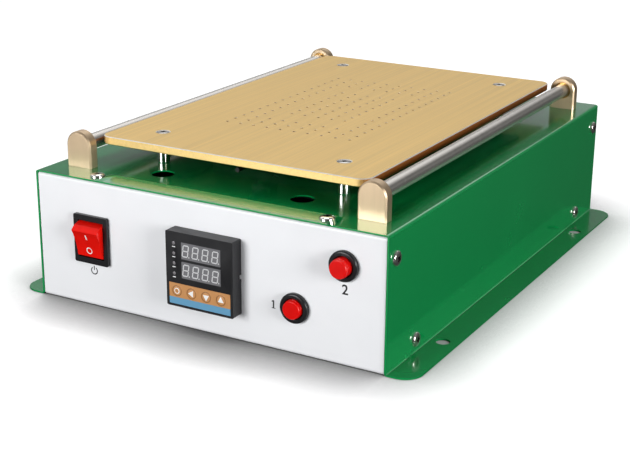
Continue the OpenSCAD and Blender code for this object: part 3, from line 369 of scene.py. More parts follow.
class Finish:
    """A material with a Principled shader, its object coordinates and the shared groups."""

    def __init__(self, name, **sockets):
        self.material = bpy.data.materials.new(name)
        self.material.use_nodes = True
        self.tree = Tree(self.material.node_tree)
        self.shader = self.material.node_tree.nodes["Principled BSDF"]
        self.place = self.tree.node("ShaderNodeTexCoord").outputs["Object"]
        for label, value in sockets.items():
            self.shader.inputs[label.replace("_", " ")].default_value = value
        FINISHES[name] = self.material

    def use(self, name, **inputs):
        """The outputs of a shared group placed in this material."""
        made = self.tree.node("ShaderNodeGroup", node_tree=shared_group(name))
        self.tree.link(self.place, made.inputs["Vector"])
        for label, value in inputs.items():
            made.inputs[label].default_value = value
        return made.outputs

    def feed(self, label, source):
        """Joins an output to one of the shader's inputs."""
        self.tree.link(source, self.shader.inputs[label])

    def fed(self, label):
        """The output that one of the shader's inputs is joined to."""
        return self.shader.inputs[label].links[0].from_socket

    def facing(self):
        """The X, Y and Z of the way that the surface faces."""
        return self.tree.split(self.tree.node("ShaderNodeNewGeometry").outputs["True Normal"])

    def colour(self, base, factor, share):
        """Base Color: the base made darker and lighter by that share as the factor runs 0 to 1."""
        dark = [c * (1 - share) for c in base] + [1]
        light = [min(1, c * (1 + share)) for c in base] + [1]
        mixed = self.tree.mix(factor, dark, light)
        self.feed("Base Color", mixed)
        return mixed

    def recolour(self, factor, tint):
        """Turns Base Color into a tint as the factor runs 0 to 1."""
        self.feed("Base Color", self.tree.mix(factor, self.fed("Base Color"), [*tint, 1]))

    def rough(self, factor, span):
        """Roughness over a span as the factor runs 0 to 1."""
        self.feed("Roughness", self.tree.ramp(factor, 0.0, 1.0, *span))

    def bump(self, height, distance):
        """Bumps of that height in metres."""
        self.feed("Normal", self.tree.result("ShaderNodeBump", {"Height": height, "Distance": distance}))


def powder_coat(name, base, rough, wave, clear=0.0, clear_ior=1.5):
    """A baked powder coat of a span of roughness, under a clear gloss where it has one."""
    coat = Finish(name, IOR=1.5, Coat_Weight=clear, Coat_IOR=clear_ior, Coat_Roughness=0.11)
    texture = coat.use("Coat texture")
    marks = coat.use("Handling marks", Size=18.0)
    coat.colour(base, texture["Cloud"], 0.06)
    coat.rough(marks["Smudge"], rough)
    coat.bump(texture["Height"], wave)
    return coat


def brushed_metal(name, base, stretch, share, rough, lines, metallic=1.0):
    """A metal with brush or turning lines across the axis with the largest stretch."""
    metal = Finish(name, Metallic=metallic)
    brush = metal.use("Brush lines", Stretch=stretch)
    metal.colour(base, brush["Shade"], share)
    metal.rough(brush["Shade"], rough)
    metal.bump(brush["Height"], lines)
    return metal


def plain_metal(name, base, rough, metallic=1.0):
    """A plated or cast metal with faint marks."""
    metal = Finish(name, Metallic=metallic)
    marks = metal.use("Handling marks", Size=90.0)
    grain = metal.use("Moulded grain", Grain=1600.0)
    metal.colour(base, grain["Speckle"], 0.08)
    metal.rough(marks["Smudge"], rough)
    metal.bump(grain["Height"], 2e-6)


def moulding(name, base, rough, wave=6e-6, share=0.10):
    """A moulded plastic or rubber."""
    plastic = Finish(name, IOR=1.48)
    texture = plastic.use("Moulded grain")
    marks = plastic.use("Handling marks", Size=60.0)
    plastic.colour(base, texture["Speckle"], share)
    plastic.rough(marks["Smudge"], rough)
    plastic.bump(texture["Height"], wave)


def roll_off(coat, start, drop, level, centre, reach):
    """Lets the top sheet dip slightly towards the front bend, from a place along it and above a level.

    The dip fades out at that reach to either side of its centre, where the corners hold the sheet.
    """
    tree = coat.tree
    fade, blunt, exponent = 8 * MM, 3 * MM, 0.6
    place = tree.split(coat.place)
    ahead = tree.math("MAXIMUM", tree.minus(start, place["Y"]), 0.0)
    aside = tree.math("ABSOLUTE", tree.minus(place["X"], centre))
    held = tree.ramp(aside, reach - fade, reach, 1.0, 0.0, interpolation_type="SMOOTHSTEP")
    share = tree.times(tree.above(place["Z"], level), held)
    curve = tree.minus(tree.math("POWER", tree.plus(ahead, blunt), exponent), blunt ** exponent)
    inputs = {"Height": tree.times(curve, share), "Distance": drop, "Normal": coat.fed("Normal")}
    bent = tree.result("ShaderNodeBump", inputs, invert=True)
    for label in ("Normal", "Coat Normal"):
        coat.feed(label, bent)


def painted_side_shade(metal, tint):
    """Paints shade on the faces that look to the left and right: their Base Color turns to a darker tint."""
    across = metal.tree.math("ABSOLUTE", metal.facing()["X"])
    metal.recolour(metal.tree.ramp(across, 0.3, 0.9, 0.0, 1.0), tint)


def painted_bevel_highlight(metal):
    """Paints a highlight on the narrow bevels that look halfway up: their Base Color turns nearly white."""
    slanted = metal.tree.math("COMPARE", metal.facing()["Z"], 0.7, 0.1)
    metal.recolour(slanted, (1.0, 0.97, 0.90))


def keypad_film(name, orange, blue, edge):
    """The keypad's printed film: orange above a height, blue below it."""
    film = Finish(name, IOR=1.5)
    texture = film.use("Moulded grain", Grain=1500.0)
    above = film.tree.above(film.tree.split(film.place)["Z"], edge)
    shaded = film.colour(orange, texture["Speckle"], 0.05)
    film.feed("Base Color", film.tree.mix(above, [*blue, 1], shaded))
    film.rough(texture["Speckle"], (0.32, 0.42))
    film.bump(texture["Height"], 4e-6)


def make_coats(colours):
    """The cover's glossy green coat, whose top sheet dips at the front, and the tray's white one."""
    green = powder_coat("green_coat", colours.case_green, (0.20, 0.30), wave=2e-6, clear=1.0, clear_ior=1.9)
    start = low("cover").y + 16 * MM
    level = high("cover").z - 1 * MM
    roll_off(green, start, drop=42 * MM, level=level, centre=6 * MM, reach=86 * MM)
    powder_coat("white_coat", colours.panel_white, (0.34, 0.44), wave=8e-6)


def make_brushed_metals(colours):
    """The anodised plate, the rods, the stand-offs and the brackets."""
    gold = brushed_metal(
        "gold_plate", colours.plate_gold, stretch=(3400.0, 10.0, 3400.0), share=0.13,
        rough=(0.40, 0.54), lines=8e-6, metallic=0.85,
    )
    # The plate's long sides get a painted dark copper shade
    painted_side_shade(gold, colours.plate_side_shade)
    # The plate's slanted bevels get a painted near-white highlight
    painted_bevel_highlight(gold)
    brushed_metal(
        "steel_rods", (0.74, 0.71, 0.66), stretch=(300.0, 1500.0, 300.0), share=0.08,
        rough=(0.22, 0.28), lines=2e-6, metallic=0.88,
    )
    brushed_metal(
        "steel_standoffs", (0.70, 0.70, 0.70), stretch=(160.0, 160.0, 3000.0), share=0.08,
        rough=(0.10, 0.20), lines=1e-6,
    )
    brushed_metal(
        "champagne_metal", colours.bracket_champagne, stretch=(2200.0, 2200.0, 90.0), share=0.05,
        rough=(0.36, 0.46), lines=4e-6, metallic=0.85,
    )


def make_plain_metals():
    """The screws, the bushes, the terminals and the metal inside the case, with near-black painted shade for
    the screw recesses and for the parts under the plate.
    """
    plain_metal("bright_screws", (0.80, 0.78, 0.73), (0.12, 0.22), metallic=0.95)
    # A near-black painted in the screws' cross recesses as shade
    plain_metal("screw_recess_shade", (0.06, 0.055, 0.05), (0.45, 0.60))
    plain_metal("bronze", (0.45, 0.27, 0.10), (0.30, 0.45))
    plain_metal("brass_terminals", (0.72, 0.52, 0.22), (0.25, 0.40))
    plain_metal("bare_aluminium", (0.62, 0.63, 0.64), (0.30, 0.45))
    plain_metal("motor_steel", (0.45, 0.45, 0.46), (0.25, 0.40))
    # Near-black painted as shade on the parts in the dark space under the plate
    plain_metal("under_plate_shade_metal", (0.035, 0.035, 0.035), (0.50, 0.65))


def make_mouldings(colours):
    """The plastics and rubbers."""
    moulding("black_plastic", colours.housing_black, (0.34, 0.48))
    moulding("button_black", colours.housing_black, (0.22, 0.34), wave=3e-6)
    moulding("black_rubber", (0.018, 0.018, 0.018), (0.60, 0.80), wave=1e-5)
    moulding("red_plastic", colours.cap_red, (0.20, 0.32), wave=2e-6)
    moulding("rocker_red", colours.rocker_red, (0.12, 0.22), wave=1e-6)
    moulding("window_plastic", (0.20, 0.20, 0.21), (0.16, 0.26), wave=1e-6)
    moulding("clear_hose", (0.62, 0.63, 0.60), (0.20, 0.30), wave=1e-6)
    moulding("relay_plastic", (0.70, 0.70, 0.66), (0.35, 0.45))
    moulding("lamp_lens", (0.20, 0.19, 0.20), (0.18, 0.28), wave=1e-6)


def make_prints(colours):
    """The inks, the unlit segments, the keypad's film and the darker orange painted as shade round the keys'
    edges.
    """
    # The keypad's orange darkened, painted as shade round each key's edge
    rim = [part * 0.45 for part in colours.keypad_orange]
    split = low("controller_keypad").z + 4.4 * MM
    moulding("printed_ink", colours.ink, (0.45, 0.60), wave=1e-6)
    moulding("white_print", (0.85, 0.85, 0.85), (0.35, 0.45), wave=1e-6, share=0.03)
    moulding("display_segment", (0.62, 0.62, 0.63), (0.20, 0.30), wave=1e-6, share=0.03)
    moulding("key_edge_shade", rim, (0.35, 0.45), wave=1e-6, share=0.05)
    keypad_film("keypad_film", colours.keypad_orange, colours.keypad_blue, split)


def put_finish(piece, finish):
    """Gives a piece or a node of the frame one of the finishes."""
    piece.data.materials.clear()
    piece.data.materials.append(FINISHES[finish])


# The nodes whose own finish is finer than their slot's. The heater mats, probe, clip and chamber under the
# plate are made black as painted shade for the dark space under it.
OWN_FINISHES = {
    "rocker_paddle": "rocker_red",
    "heater_mats": "black_rubber",
    "temperature_probe": "under_plate_shade_metal",
    "probe_clip": "under_plate_shade_metal",
    "vacuum_chamber": "under_plate_shade_metal",
}


class SEPARATOR_OT_finishes(Operator):
    """Make the finishes and give each node of the frame its own"""

    bl_idname = "separator.finishes"
    bl_label = "Finishes"

    def execute(self, context):
        colours = context.scene.separator_colours
        slots = {node: piece.data.materials[0].name for node, piece in frame["nodes"].items()}
        for plain in list(bpy.data.materials):
            bpy.data.materials.remove(plain)
        make_coats(colours)
        make_brushed_metals(colours)
        make_plain_metals()
        make_mouldings(colours)
        make_prints(colours)
        for node, finish in (slots | OWN_FINISHES).items():
            put_finish(frame["nodes"][node], finish)
        return {"FINISHED"}


# Pieces


def add_object(name, data):
    """A new object of the scene."""
    made = bpy.data.objects.new(name, data)
    bpy.context.scene.collection.objects.link(made)
    return made


def settle(piece, body, finish, sharp=35.0):
    """Turns a piece into a plain mesh with its finish, riding on a body of the frame."""
    shape = bpy.data.meshes.new_from_object(piece.evaluated_get(bpy.context.evaluated_depsgraph_get()))
    if not shape.polygons:
        raise RuntimeError(f"{piece.name} has no faces")
    piece.modifiers.clear()
    piece.data = shape
    shape.name = piece.name
    for n in reversed(range(len(shape.materials))):
        if shape.materials[n] is None:
            shape.materials.pop(index=n)
    if sharp:
        shape.set_sharp_from_angle(angle=math.radians(sharp))
    if finish:
        put_finish(piece, finish)
    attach(piece, body)


def from_points(name, points, facing=()):
    """A new object whose mesh is loose points, with the way each one faces."""
    mesh = bpy.data.meshes.new(name)
    mesh.from_pydata(points, [], [])
    if facing:
        layer = mesh.attributes.new("facing", "FLOAT_VECTOR", "POINT")
        layer.data.foreach_set("vector", [part for way in facing for part in way])
    return add_object(name, mesh)


def from_bmesh(name, shape):
    """A new object from a bmesh, with its faces turned outwards."""
    bmesh.ops.remove_doubles(shape, verts=shape.verts, dist=1e-7)
    bmesh.ops.recalc_face_normals(shape, faces=shape.faces)
    mesh = bpy.data.meshes.new(name)
    shape.to_mesh(mesh)
    shape.free()
    return add_object(name, mesh)


def crisp(name, node, body, finish, edge):
    """A copy of a node of the frame with a small rounding on its edges, which stands for it."""
    sharp = math.radians(30)
    shape = bmesh.new()
    shape.from_mesh(frame["nodes"][node].data)
    bmesh.ops.remove_doubles(shape, verts=shape.verts, dist=1e-6)
    bmesh.ops.dissolve_limit(
        shape, angle_limit=math.radians(0.5), verts=shape.verts, edges=shape.edges,
        use_dissolve_boundaries=False,
    )
    piece = from_bmesh(name, shape)
    piece.data.shade_smooth()
    piece.data.set_sharp_from_angle(angle=sharp)
    rounding = piece.modifiers.new("Rounding", "BEVEL")
    rounding.width = edge
    rounding.segments = 2
    rounding.limit_method = "ANGLE"
    rounding.angle_limit = sharp
    rounding.harden_normals = True
    settle(piece, body, finish, None)
    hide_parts(node)


# The way each key's arrow points, in degrees; the first key has a ring
KEY_TURNS = {"key_set": None, "key_left": 180.0, "key_down": 270.0, "key_up": 90.0}


class SEPARATOR_OT_rounded_parts(Operator):
    """Round the small edges of the brackets, switch, controller, buttons and keys"""

    bl_idname = "separator.rounded_parts"
    bl_label = "Rounded parts"

    def execute(self, context):
        edges = context.scene.separator_edges
        soft = edges.moulding
        crisp("brushed_brackets", "rod_brackets", "base", "champagne_metal", edges.metal)
        crisp("switch_bezel", "rocker_housing", "base", "button_black", soft)
        crisp("controller_case", "controller_housing", "base", "black_plastic", soft)
        crisp("ring_pair", "button_rings", "base", "button_black", soft)
        crisp("switch_paddle", "rocker_paddle", "rocker_paddle", "rocker_red", soft)
        for node in ("upper_button_cap", "lower_button_cap"):
            crisp(node + "_face", node, node, "red_plastic", soft)
        for node in KEY_TURNS:
            crisp(node + "_top", node, node, "keypad_film", edges.key)
        return {"FINISHED"}


# Geometry Nodes


class ShapeTree(Tree):
    """A Geometry Nodes tree."""

    def position(self):
        """The place of each point."""
        return self.result("GeometryNodeInputPosition")

    def attribute(self, name, kind):
        """A named attribute of the geometry."""
        return self.result("GeometryNodeInputNamedAttribute", {"Name": name}, data_type=kind)

    def pick(self, test, no, yes):
        """One of two numbers, by a test."""
        inputs = {"Switch": test, "False": no, "True": yes}
        return self.result("GeometryNodeSwitch", inputs, input_type="FLOAT")

    def cylinder(self, sides, radius, depth, rings=1):
        """An upright cylinder with plain ends."""
        inputs = {"Vertices": sides, "Side Segments": rings, "Radius": radius, "Depth": depth}
        return self.result("GeometryNodeMeshCylinder", inputs, fill_type="NGON")

    def grid(self, across, along, columns, rows):
        """A flat grid of points."""
        inputs = {"Size X": across, "Size Y": along, "Vertices X": columns, "Vertices Y": rows}
        return self.result("GeometryNodeMeshGrid", inputs)

    def move(self, shape, position, chosen=True):
        """A shape whose chosen points go to a position."""
        inputs = {"Geometry": shape, "Selection": chosen, "Position": position}
        return self.result("GeometryNodeSetPosition", inputs)

    def turn(self, shape, rotation):
        """A shape turned about the origin."""
        return self.result("GeometryNodeTransform", {"Geometry": shape, "Rotation": rotation})

    def shift(self, shape, offset):
        """A shape shifted by an offset."""
        return self.result("GeometryNodeTransform", {"Geometry": shape, "Translation": offset})

    def repeat(self, points, shape, rotation=(0, 0, 0)):
        """A shape at each point."""
        inputs = {"Points": points, "Instance": shape, "Rotation": rotation}
        return self.result("GeometryNodeInstanceOnPoints", inputs)

    def join(self, *shapes):
        """Shapes joined into one."""
        return self.result("GeometryNodeJoinGeometry", {0: shapes})

    def real(self, shape):
        """A shape with its instances made real."""
        return self.result("GeometryNodeRealizeInstances", {"Geometry": shape})

    def cut(self, shape, cutters, crossing=False):
        """A shape less its cutters, which may cross each other."""
        inputs = {"Mesh 1": shape, "Mesh 2": cutters, "Self Intersection": crossing}
        return self.result("GeometryNodeMeshBoolean", inputs, operation="DIFFERENCE", solver="EXACT")

    def coat(self, shape, material, chosen=True):
        """A shape whose chosen faces have a material."""
        inputs = {"Geometry": shape, "Selection": chosen, "Material": material}
        return self.result("GeometryNodeSetMaterial", inputs)


def geometry_tree(name, sizes):
    """A new Geometry Nodes tree with a geometry and named sizes as inputs."""
    group = bpy.data.node_groups.new(name, "GeometryNodeTree")
    group.interface.new_socket("Geometry", in_out="INPUT", socket_type="NodeSocketGeometry")
    for label, value in sizes.items():
        kind = "NodeSocketInt" if isinstance(value, int) else "NodeSocketFloat"
        if isinstance(value, bpy.types.Material):
            kind = "NodeSocketMaterial"
        group.interface.new_socket(label, in_out="INPUT", socket_type=kind)
    group.interface.new_socket("Geometry", in_out="OUTPUT", socket_type="NodeSocketGeometry")
    tree = ShapeTree(group)
    return tree, tree.node("NodeGroupInput").outputs, tree.node("NodeGroupOutput").inputs["Geometry"]


def grow(piece, tree, sizes):
    """Puts a Geometry Nodes tree on a piece and sets its named inputs."""
    modifier = piece.modifiers.new(tree.tree.name, "NODES")
    modifier.node_group = tree.tree
    for item in tree.tree.interface.items_tree:
        if item.item_type == "SOCKET" and item.in_out == "INPUT" and item.name in sizes:
            modifier[item.identifier] = sizes[item.name]


# Screws

TOP_SCREW_X = 82.5 * MM
TOP_SCREW_INSET = 8 * MM
UPPER_SCREW_INSET = 9.5 * MM
UPPER_SCREW_DROP = 16 * MM
LOWER_SCREW_INSET = 38.5 * MM
LOWER_SCREW_HEIGHT = 8.8 * MM
# From the tray's side to the outer face of the cover's wall
COVER_WALL = 1.4 * MM
# The recess's arms, their width and their depth, as shares of the head's diameter
RECESS_ARM = 0.56
RECESS_SLOT = 0.20
RECESS_DEPTH = 0.19
FLAT_RECESS_DEPTH = 1.3 * MM


def pan_head(tree, given, place, reach, radius):
    """A pan head: a quarter of a rounded square, turned about the screw's axis."""
    fullness = 0.62
    turn = tree.times(reach, math.pi / 2)
    bulge = tree.math("DIVIDE", tree.math("POWER", tree.math("SINE", turn), fullness), reach)
    across = tree.pick(tree.above(place["Z"], 0.0), radius, tree.times(radius, bulge))
    cosine = tree.math("MAXIMUM", tree.math("COSINE", turn), 0.0)
    top = tree.times(given["Height"], tree.math("POWER", cosine, fullness))
    return across, 0.0, top, given["Height"]


def flat_head(tree, given, place, reach, radius):
    """A flat head: the disc is hardly raised, and its underside is a cone."""
    crown = 0.14
    rise = tree.times(tree.minus(1.0, tree.times(reach, reach)), crown)
    top = tree.times(given["Height"], rise)
    below = tree.times(given["Height"], tree.minus(reach, 1.0))
    return radius, below, top, 0.0


def cross_recess(tree, given, place, head, face):
    """A head less two crossed wedges, narrower at the bottom, sunk from the level of its face."""
    narrowing = 0.45
    taper = tree.ramp(place["Z"], -0.5, 0.5, narrowing, 1.0)
    along = tree.times(tree.times(place["X"], taper), given["Arm"])
    across = tree.times(tree.times(place["Y"], taper), given["Slot"])
    deep = tree.times(tree.plus(place["Z"], 0.5), tree.times(given["Depth"], 2.0))
    level = tree.plus(deep, tree.minus(face, given["Depth"]))
    wedge = tree.result("GeometryNodeMeshCube", {"Size": (1, 1, 1)})
    shaped = tree.move(wedge, tree.xyz(along, across, level))
    marked = tree.result(
        "GeometryNodeStoreNamedAttribute", {"Geometry": shaped, "Name": "recess", "Value": True},
        data_type="BOOLEAN", domain="FACE",
    )
    return tree.cut(head, (marked, tree.turn(marked, (0, 0, math.pi / 2))), crossing=True)


def screw_rotation(tree, given):
    """The way a screw faces, and its own chance turn about its axis."""
    facing = tree.attribute("facing", "FLOAT_VECTOR")
    aligned = tree.result("FunctionNodeAlignRotationToVector", {"Vector": facing}, axis="Z")
    chance = {2: 0.0, 3: math.pi / 2, "Seed": given["Seed"]}
    spin = tree.node("FunctionNodeRandomValue", chance, data_type="FLOAT").outputs[1]
    twist = tree.result("FunctionNodeAxisAngleToRotation", {"Axis": (0, 0, 1), "Angle": spin})
    inputs = {"Rotation": aligned, "Rotate By": twist}
    return tree.result("FunctionNodeRotateRotation", inputs, rotation_space="LOCAL")


def screw_tree(name, sizes, head_shape):
    """A cross-recessed screw head at each point, facing along the point's own direction."""
    tree, given, out = geometry_tree(name, sizes)
    position = tree.position()
    place = tree.split(position)
    away = tree.vector("LENGTH", tree.vector("MULTIPLY", position, (1, 1, 0)))
    reach = tree.math("MAXIMUM", away, 1e-6)
    across, below, top, face = head_shape(tree, given, place, reach, tree.times(given["Head"], 0.5))
    level = tree.pick(tree.above(place["Z"], 0.0), below, top)
    spot = tree.xyz(tree.times(place["X"], across), tree.times(place["Y"], across), level)
    blank = tree.result(
        "GeometryNodeMeshCylinder",
        {"Vertices": 40, "Side Segments": 1, "Fill Segments": 9, "Radius": 1.0, "Depth": 2.0},
        fill_type="TRIANGLE_FAN",
    )
    crossed = cross_recess(tree, given, place, tree.move(blank, spot), face)
    real = tree.real(tree.repeat(given["Geometry"], crossed, screw_rotation(tree, given)))
    coated = tree.coat(real, given["Material"])
    recess = tree.attribute("recess", "BOOLEAN")
    # The recess faces take the near-black finish: painted shade in the cross
    tree.link(tree.coat(coated, given["Recess material"], recess), out)
    return tree


def put_screws(name, node, points, facing, head_shape, given):
    """A screw head at each point, which stand for a node of the frame."""
    given["Arm"] = given["Head"] * RECESS_ARM
    given["Slot"] = given["Head"] * RECESS_SLOT
    given["Material"] = FINISHES["bright_screws"]
    given["Recess material"] = FINISHES["screw_recess_shade"]
    piece = from_points(name, points, facing)
    grow(piece, screw_tree(name, given, head_shape), given)
    settle(piece, "base", None)
    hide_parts(node)


class SEPARATOR_OT_case_screws(Operator):
    """Put the cover's cross-recessed pan screws in place"""

    bl_idname = "separator.case_screws"
    bl_label = "Case screws"

    def execute(self, context):
        sizes = context.scene.separator_screws
        front, back, top = low("cover").y, high("cover").y, high("cover").z
        side = high("chassis_tray").x + COVER_WALL
        points, facing = [], []
        for x in (-1, 1):
            for end, inward in ((front, 1), (back, -1)):
                points += [
                    (x * TOP_SCREW_X, end + inward * TOP_SCREW_INSET, top),
                    (x * side, end + inward * UPPER_SCREW_INSET, top - UPPER_SCREW_DROP),
                    (x * side, end + inward * LOWER_SCREW_INSET, LOWER_SCREW_HEIGHT),
                ]
                facing += [(0, 0, 1), (x, 0, 0), (x, 0, 0)]
        depth = sizes.head * RECESS_DEPTH
        given = {"Head": sizes.head, "Height": sizes.height, "Depth": depth, "Seed": sizes.seed}
        put_screws("case_screw_heads", "case_screws", points, facing, pan_head, given)
        return {"FINISHED"}


class SEPARATOR_OT_plate_screws(Operator):
    """Put the plate's four countersunk screws in place"""

    bl_idname = "separator.plate_screws"
    bl_label = "Plate screws"

    def execute(self, context):
        sizes = context.scene.separator_screws
        plate = context.scene.separator_plate
        centre, top = middle("heated_plate").y, high("plate_screws").z
        points = [
            (x * plate.screw_x, centre + y * plate.screw_y, top) for x in (-1, 1) for y in (-1, 1)
        ]
        facing = [(0, 0, 1)] * len(points)
        given = {
            "Head": sizes.flat_head, "Height": sizes.flat_height, "Depth": FLAT_RECESS_DEPTH,
            "Seed": sizes.seed + 1,
        }
        put_screws("plate_screw_heads", "plate_screws", points, facing, flat_head, given)
        return {"FINISHED"}


# Top plate

# How far a drill goes past both faces of the plate
OVERCUT = 1 * MM
# How much wider a countersink is than its screw's head, and how much deeper it starts
SINK_CLEARANCE = 1.1 * MM
SINK_DEPTH = 0.2 * MM


def outline_rule(tree, inner, radius):
    """The places that move an outline's points to a rounded rectangle of another corner radius."""
    flat = tree.vector("MULTIPLY", tree.position(), (1, 1, 0))
    lowest = tree.vector("MULTIPLY", inner, (-1, -1, -1))
    core = tree.vector("MAXIMUM", tree.vector("MINIMUM", flat, inner), lowest)
    away = tree.vector("NORMALIZE", tree.vector("SUBTRACT", flat, core))
    reach = tree.result("ShaderNodeVectorMath", {0: away, "Scale": radius}, operation="SCALE")
    return tree.vector("ADD", core, reach)


def bevelled_blank(tree, given):
    """The plate before it is drilled: its lower face, raised ring by ring to the upper one."""
    width, along, corner, thickness, bevel = (
        given[label] for label in ("Width", "Length", "Corner", "Thickness", "Bevel")
    )
    small = tree.minus(corner, bevel)
    inner = tree.xyz(
        tree.minus(tree.times(width, 0.5), corner), tree.minus(tree.times(along, 0.5), corner)
    )
    box = tree.result("GeometryNodeCurvePrimitiveQuadrilateral", {"Width": width, "Height": along})
    rounding = {"Curve": box, "Radius": corner, "Count": 8}
    rounded = tree.result("GeometryNodeFilletCurve", rounding, mode="POLY")
    face = tree.result("GeometryNodeFillCurve", {"Curve": rounded}, mode="NGONS")
    shape = tree.move(face, outline_rule(tree, inner, small))
    under = tree.result("GeometryNodeFlipFaces", {"Mesh": shape})
    chosen = True
    for radius, level in ((corner, bevel), (corner, tree.minus(thickness, bevel)), (small, thickness)):
        inputs = {"Mesh": shape, "Selection": chosen, "Offset Scale": 0.0, "Individual": False}
        grown = tree.node("GeometryNodeExtrudeMesh", inputs, mode="FACES").outputs
        chosen = grown["Top"]
        lifted = tree.vector("ADD", outline_rule(tree, inner, radius), tree.xyz(z=level))
        shape = tree.move(grown["Mesh"], lifted, chosen)
    joined = tree.join(under, shape)
    return tree.result("GeometryNodeMergeByDistance", {"Geometry": joined, "Distance": 1e-6})


def hole_points(tree, given):
    """The vacuum holes: a wide frame of them with its middle left out, and a block in the middle."""
    grids = []
    for columns, rows in (("Columns", "Rows"), ("Inner columns", "Inner rows")):
        across = tree.times(tree.minus(given[columns], 1.0), given["Pitch across"])
        along = tree.times(tree.minus(given[rows], 1.0), given["Pitch along"])
        grids.append(tree.grid(across, along, given[columns], given[rows]))
    place = tree.split(tree.position())
    inside = []
    for axis, total, rim, pitch in (("X", "Columns", 2.0, "Pitch across"), ("Y", "Rows", 3.0, "Pitch along")):
        free = tree.times(tree.minus(tree.times(given[total], 0.5), rim), given[pitch])
        inside.append(tree.math("LESS_THAN", tree.math("ABSOLUTE", place[axis]), free))
    cleared = {"Geometry": grids[0], "Selection": tree.times(*inside)}
    ring = tree.result("GeometryNodeDeleteGeometry", cleared, domain="POINT")
    return tree.join(ring, grids[1])


def drill(tree, points, sides, low_radius, high_radius, mouth, top):
    """A drill at each point: straight up to the mouth, and widening from there to its top."""
    place = tree.split(tree.position())
    is_top = tree.above(place["Z"], 0.5)
    is_low = tree.math("LESS_THAN", place["Z"], -0.5)
    radius = tree.pick(is_top, low_radius, high_radius)
    level = tree.pick(is_low, tree.pick(is_top, mouth, top), -OVERCUT)
    spot = tree.xyz(tree.times(place["X"], radius), tree.times(place["Y"], radius), level)
    bit = tree.move(tree.cylinder(sides, 1.0, 2.0, rings=2), spot)
    return tree.real(tree.repeat(points, bit))


def plate_tree(sizes):
    """The bevelled plate, its frame and block of vacuum holes and its four countersinks."""
    tree, given, out = geometry_tree("Perforated plate", sizes)
    thickness = given["Thickness"]
    top = tree.plus(thickness, OVERCUT)
    radius = tree.times(given["Hole"], 0.5)
    mouth = tree.minus(thickness, given["Hole bevel"])
    wide = tree.plus(radius, tree.plus(given["Hole bevel"], OVERCUT))
    holes = drill(tree, hole_points(tree, given), 12, radius, wide, mouth, top)
    shank = tree.times(given["Screw"], 0.5)
    sink_depth = tree.times(tree.minus(given["Flat head"], given["Screw"]), 0.5)
    sink_mouth = tree.minus(tree.minus(thickness, sink_depth), SINK_DEPTH)
    sink_wide = tree.plus(shank, tree.minus(top, sink_mouth))
    corners = tree.grid(
        tree.times(given["Screws across"], 2.0), tree.times(given["Screws along"], 2.0), 2, 2
    )
    sinks = drill(tree, corners, 40, shank, sink_wide, sink_mouth, top)
    drilled = tree.cut(bevelled_blank(tree, given), (holes, sinks))
    placed = tree.shift(drilled, tree.xyz(0.0, given["Centre"], given["Underside"]))
    tree.link(tree.coat(tree.real(placed), given["Material"]), out)
    return tree


class SEPARATOR_OT_plate(Operator):
    """Drill and bevel the brushed top plate"""

    bl_idname = "separator.plate"
    bl_label = "Top plate"

    def execute(self, context):
        plate = context.scene.separator_plate
        size = high("heated_plate") - low("heated_plate")
        sink = context.scene.separator_screws.flat_head + SINK_CLEARANCE
        given = {
            "Width": size.x, "Length": size.y, "Thickness": size.z, "Corner": plate.corner,
            "Bevel": plate.bevel, "Hole": plate.hole, "Hole bevel": plate.hole_bevel,
            "Columns": plate.columns, "Rows": plate.rows, "Inner columns": plate.inner_columns,
            "Inner rows": plate.inner_rows, "Pitch across": plate.pitch_x, "Pitch along": plate.pitch_y,
            "Screws across": plate.screw_x, "Screws along": plate.screw_y, "Screw": plate.screw_hole,
            "Flat head": sink, "Centre": middle("heated_plate").y, "Underside": low("heated_plate").z,
            "Material": FINISHES["gold_plate"],
        }
        piece = from_points("perforated_plate", [])
        grow(piece, plate_tree(given), given)
        settle(piece, "base", "gold_plate")
        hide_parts("heated_plate")
        return {"FINISHED"}


# Prints


def before(node):
    """A depth just before a node's face, from which a mark is laid onto it."""
    return low(node).y - 1 * MM


def rectangle(left, right, foot, top):
    """The corners of an upright rectangle."""
    return [(left, foot), (right, foot), (right, top), (left, top)]


def flat_ring(shape, centre, outer, stroke, start=0.0, sweep=360.0, steps=48):
    """A flat ring, or part of one, standing in the plane that faces the front."""
    whole_turn = sweep >= 360.0
    rim = []
    for n in range(steps if whole_turn else steps + 1):
        turn = math.radians(start + sweep * n / steps)
        rim.append([
            shape.verts.new((centre[0] + r * math.cos(turn), centre[1], centre[2] + r * math.sin(turn)))
            for r in (outer - stroke, outer)
        ])
    count = len(rim)
    for n in range(count if whole_turn else count - 1):
        a, b = rim[n], rim[(n + 1) % count]
        shape.faces.new((a[0], a[1], b[1], b[0]))


def flat_patch(shape, points, y, cuts=0):
    """A flat polygon facing the front, divided so that it can follow a curved face."""
    face = shape.faces.new([shape.verts.new((x, y, z)) for x, z in points])
    if cuts:
        made = bmesh.ops.triangulate(shape, faces=[face])
        edges = {edge for part in made["faces"] for edge in part.edges}
        bmesh.ops.subdivide_edges(shape, edges=list(edges), cuts=cuts, use_grid_fill=True)


def print_on(name, shape, node, finish, body="base"):
    """Lays flat marks that stand before a node onto its face, as a thin film of print."""
    bmesh.ops.remove_doubles(shape, verts=shape.verts, dist=1e-7)
    for face in shape.faces:
        face.normal_update()
        if face.normal.y > 0:
            face.normal_flip()
    mesh = bpy.data.meshes.new(name)
    shape.to_mesh(mesh)
    shape.free()
    piece = add_object(name, mesh)
    wrap = piece.modifiers.new("Lay on", "SHRINKWRAP")
    wrap.target = frame["nodes"][node]
    wrap.wrap_method = "PROJECT"
    wrap.use_project_y = True
    wrap.use_negative_direction = False
    thick = piece.modifiers.new("Film", "SOLIDIFY")
    thick.thickness = bpy.context.scene.separator_marks.film
    thick.offset = 1.0
    settle(piece, body, finish, 30)


# Display

